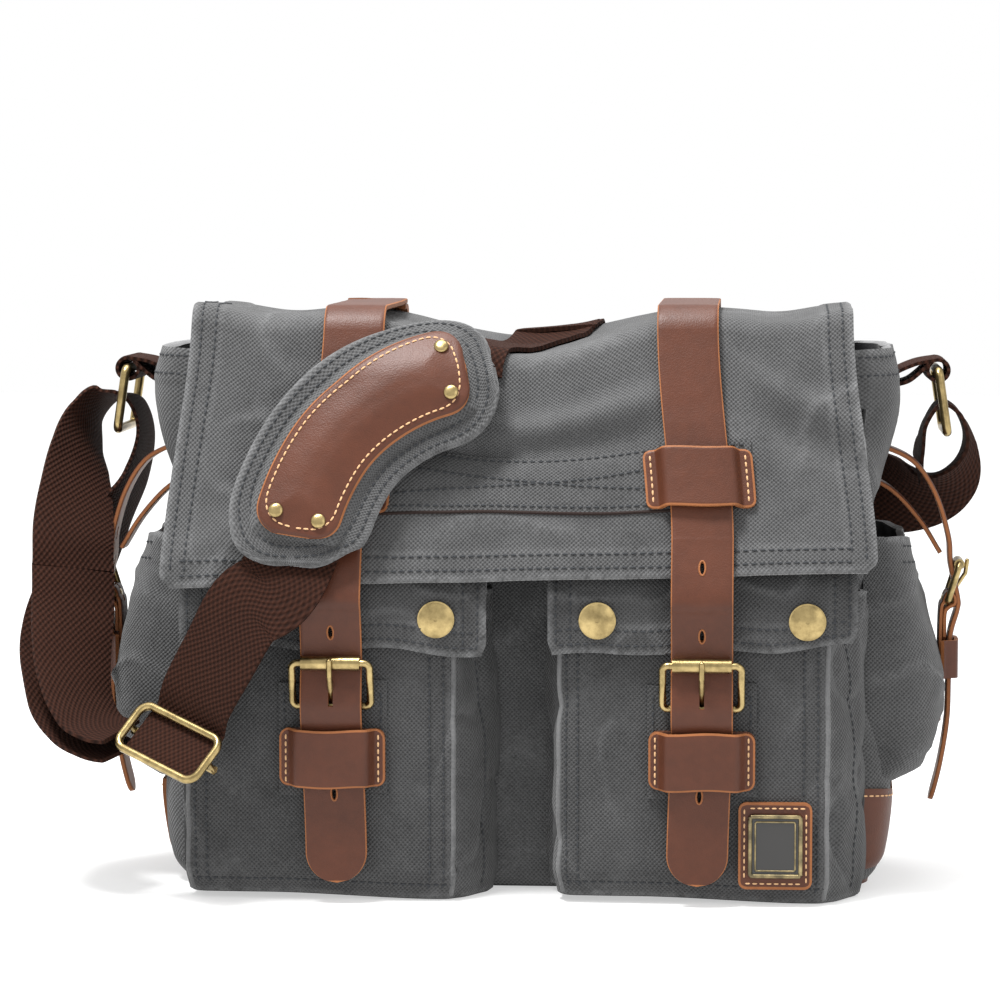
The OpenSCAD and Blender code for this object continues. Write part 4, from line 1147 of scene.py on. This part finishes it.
# --- back of the bag: hinge strip and strap anchors
def over_back(piece, x0, x1, low, lift, count_x, thick, faces, calm, out=0.0):
    """A strip that climbs the back wall and turns over onto the flap."""
    xs = np.linspace(x0, x1, count_x)
    wall_y = 51.8 + lift
    land = [flap_point(xs, np.full(count_x, b), out, calm) for b in (6, 9, 12)]
    high = land[0][:, 2] - 8.5
    climb = [pack(xs, wall_y, low + (high - low) * k) for k in np.linspace(0, 1, 26)]
    a, b = climb[-1], land[0]
    turn = []
    for k in np.linspace(0, 1, 14)[1:-1]:
        c = pack(xs, wall_y + 0.4, b[:, 2] + 0.2)
        turn.append((1 - k) ** 2 * a + 2 * k * (1 - k) * c + k * k * b)
    piece.slab(np.stack(climb + turn + land), thick, *faces, flip=True)


hinge = Piece("flap_hinge_cloth")
over_back(hinge, -141, 141, 206, 0.6, 120, 1.8, (canvas, canvas_dark, canvas_dark), 1.0)
for z in (209.0, 215.0):
    hinge.row((-139, 53.45, z), (139, 53.45, z), 200, BACK, thread_dark, pitch=3.6)
placed(hinge, ("bag_body", "flap_top"), "canvas", sharp=60, **AT_HINGE)

anchors = Piece("strap_anchor_leather")
for side in (-1, 1):
    cx, y = side * STRAP_TOP_X, 55.9
    over_back(anchors, cx - 13, cx + 13, 196, 2.8, 14, 2.3, LEATHER_FACES, 0.35, 4.0)
    for x in (cx - 10.4, cx + 10.4):
        anchors.row((x, y, 198), (x, y, 222), 60, BACK, thread_tan, pitch=3.1, width=0.7)
    anchors.row((cx - 10, y, 199), (cx + 10, y, 199), 40, BACK, thread_tan, pitch=3.1, width=0.7)
placed(anchors, ("bag_body", "flap_top"), "leather", "strap_anchors", sharp=60, **AT_HINGE)

# --- back pocket and zip tape
BACK_HALF, BACK_LOW = 118, 17


def on_back(x, z, out=0.0):
    """Points of the back pocket's cloth, lifted out of it."""
    rise = np.clip(np.minimum(BACK_HALF - np.abs(x), z - BACK_LOW) / 6.0, 0, 1)
    return pack(x, 51.6 + 2.6 * step(rise, 0, 1) + rise * (0.9 * bumps(pack(x, z, 0), 40, 12.0) + 0.9) + out, z)


back = Piece("back_pocket_cloth")
n, m = detail((70, 160), (36, 80))
u, w = np.meshgrid(np.linspace(-1, 1, m), np.linspace(0, 1, n))
gx, gz = u * BACK_HALF, BACK_LOW + w * 112
back.slab(on_back(gx, gz), 1.6 + step(w, 0.91, 0.93), canvas, canvas_dark, canvas_dark, flip=True,
          uv=pack(gx, gz) / 1000)
rows = []
for inset in (5.0, 11.0):
    rows.append((np.linspace(-117 + inset, 117 - inset, 200), BACK_LOW + inset))
    rows += [(sign * (BACK_HALF - inset), np.linspace(20, 126, 90)) for sign in (-1, 1)]
for xs, zs in rows + [(np.linspace(-115, 115, 200), 124.0)]:
    back.stitches(on_back(xs, zs, 1.25), BACK, thread_dark, pitch=3.6)
placed(back, "bag_body", "canvas", "back_pocket", sharp=60)

tape = Piece("zip_tape_cloth")
for low, high in ((128.0, 133.6), (136.4, 142.0)):
    u, w = np.meshgrid(np.linspace(-118, 118, 90), np.linspace(low, high, 6))
    tape.slab(pack(u, 52.2, w), 0.9, lining, flip=True)
for sign in (-1, 1):
    for k in range(98):
        x = -100 + k * 2.2 + (0.55 if sign > 0 else -0.55)
        if x > 113 or abs(x + 104) < 6:
            continue
        box = np.array([[dx, dy, dz] for dx in (-0.45, 0.45) for dy in (0, 1.3) for dz in (0, 1.9)])
        box = box * [1, 1, -sign] + [x, 52.0, 135 + sign * 1.75]
        tape.add(box, [[0, 1, 3, 2], [4, 6, 7, 5], [0, 4, 5, 1], [2, 3, 7, 6], [0, 2, 6, 4], [1, 5, 7, 3]], brass)
tape.row((-116, 52.75, 140.4), (116, 52.75, 140.4), 180, BACK, thread_dark, pitch=3.6)
placed(tape, "bag_body", "lining", "zip_tape")

# --- padded camera insert and its dividers
insert = Piece("insert_padding")
n, m = detail((60, 200), (34, 100))
outer_loop, _ = ring_path(m, 142, 45, 14)
inner_loop, _ = ring_path(m, 134, 37, 7)
low = 3.6
rise = np.linspace(0, 1, n)


def insert_wall(loop, z, sign):
    """One ring of the padded wall, with soft quilting."""
    p = np.column_stack([loop, np.full(len(loop), z)])
    out = unit(loop / [140, 44])
    puff = 0.9 * abs(math.sin(z / 178 * math.pi * 3)) * sign
    p[:, :2] += out * (puff - 0.5 * sign)
    return p


rings = [insert_wall(outer_loop, low + 174 * r, 1) for r in rise]
top_mid = 0.5 * (outer_loop + inner_loop)
for k in np.linspace(0, math.pi, 9)[1:-1]:
    p = top_mid + (outer_loop - top_mid) * math.cos(k)
    rings.append(np.column_stack([p, np.full(m, low + 174 + 3.6 * math.sin(k))]))
rings += [insert_wall(inner_loop, low + 174 - (174 - 8) * r, -1) for r in rise]
grid = np.stack(rings)
rows_n = len(rings)
faces = [[i * m + j, i * m + j + 1, (i + 1) * m + j + 1, (i + 1) * m + j]
         for i in range(rows_n - 1) for j in range(m - 1)]
seat = np.array([[0, 0, low + 9.2]])
base = np.array([[0, 0, low - 0.1]])
insert.add(np.concatenate([grid.reshape(-1, 3), seat, base]),
           faces + [[(rows_n - 1) * m + j, (rows_n - 1) * m + j + 1, rows_n * m] for j in range(m - 1)]
           + [[j + 1, j, rows_n * m + 1] for j in range(m - 1)], lining)
for z in (60.0, 120.0):
    p = np.column_stack([inner_loop * [0.998, 0.996], np.full(m, low + z)])
    insert.stitches(p, np.column_stack([-unit(inner_loop), np.zeros(m)]), thread_dark, pitch=4.0)
insert_obj = placed(insert, "bag_body", "lining", "camera_insert", sharp=60)

for side, word in SIDES:
    node_name = "divider_" + word
    (x0, y0, z0), (x1, y1, z1) = [[c * 1000 for c in corner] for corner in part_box(node_name)]
    u, w = np.meshgrid(np.linspace(0, 1, 40), np.linspace(0, 1, 80))
    soft = np.clip(np.minimum(np.minimum(u, 1 - u) * (y1 - y0), np.minimum(w, 1 - w) * (z1 - z0)) / 5.0, 0, 1)
    thick = (x1 - x0) * (0.45 + 0.5 * np.sqrt(1 - (1 - soft) ** 2))
    mid = (x0 + x1) / 2
    pad_piece = Piece("divider_padding_" + word)
    pad_piece.slab(pack(mid + 0.4 * bumps(pack(u * 70, w * 160, 0), 30, side), y0 + 1.2 + u * (y1 - y0 - 2.4),
                        z0 + 0.6 + w * (z1 - z0 - 1.2)), thick, lining)
    for y in (y0 + 6, y1 - 6):
        for sign in (-1, 1):
            x = mid + sign * ((x1 - x0) * 0.475 + 0.25)
            pad_piece.row((x, y, z0 + 6), (x, y, z1 - 6), 80, (sign, 0, 0), thread_dark, pitch=4.0)
    divider_obj = placed(pad_piece, node_name, "lining", node_name)


# --- stage, light and camera
def area_light(name, at, look, size, power):
    data = bpy.data.lights.new(name, "AREA")
    data.shape = "DISK"
    data.size, data.energy = size, power
    obj = bpy.data.objects.new(name, data)
    obj.location = at
    obj.rotation_euler = (Vector(look) - Vector(at)).to_track_quat("-Z", "Y").to_euler()
    bpy.context.scene.collection.objects.link(obj)


bpy.ops.mesh.primitive_plane_add(size=8, location=(0, 0, -0.0003))
floor = bpy.context.object
floor.name = "floor"
floor_white = plain("floor_white", (0.50, 0.50, 0.497), 0.7, spec=0.1)
floor_shader = floor_white.node_tree.nodes["Principled BSDF"]
floor_shader.inputs["Emission Color"].default_value = (1, 1, 1, 1)
floor_shader.inputs["Emission Strength"].default_value = 0.5
floor.data.materials.append(floor_white)

area_light("key", (-0.55, -0.6, 2.2), (0, 0, 0.12), 0.6, 84)
area_light("fill", (1.5, -1.3, 0.9), (0, 0, 0.12), 1.3, 5)
area_light("top", (0.1, 0.2, 1.8), (0, 0, 0.1), 1.2, 18)
world = bpy.data.worlds.new("studio")
world.use_nodes = True
world.node_tree.nodes["Background"].inputs[0].default_value = (1, 1, 1, 1)
world.node_tree.nodes["Background"].inputs[1].default_value = 1.0
bpy.context.scene.world = world
bpy.context.scene.view_settings.view_transform = "Standard"

VIEW_AZ, VIEW_EL, VIEW_DIST = math.radians(3.8), math.radians(4.6), 1.6
target = Vector((-0.0071, -0.085, 0.1714))
to_camera = Vector((math.sin(VIEW_AZ) * math.cos(VIEW_EL), -math.cos(VIEW_AZ) * math.cos(VIEW_EL), math.sin(VIEW_EL)))
cam = bpy.data.cameras.new("camera")
cam.sensor_width = 36
cam.lens = 18 / (0.210 / VIEW_DIST)
camera = bpy.data.objects.new("camera", cam)
camera.location = target + to_camera * VIEW_DIST
camera.rotation_euler = (-to_camera).to_track_quat("-Z", "Y").to_euler()
bpy.context.scene.collection.objects.link(camera)
bpy.context.scene.camera = camera
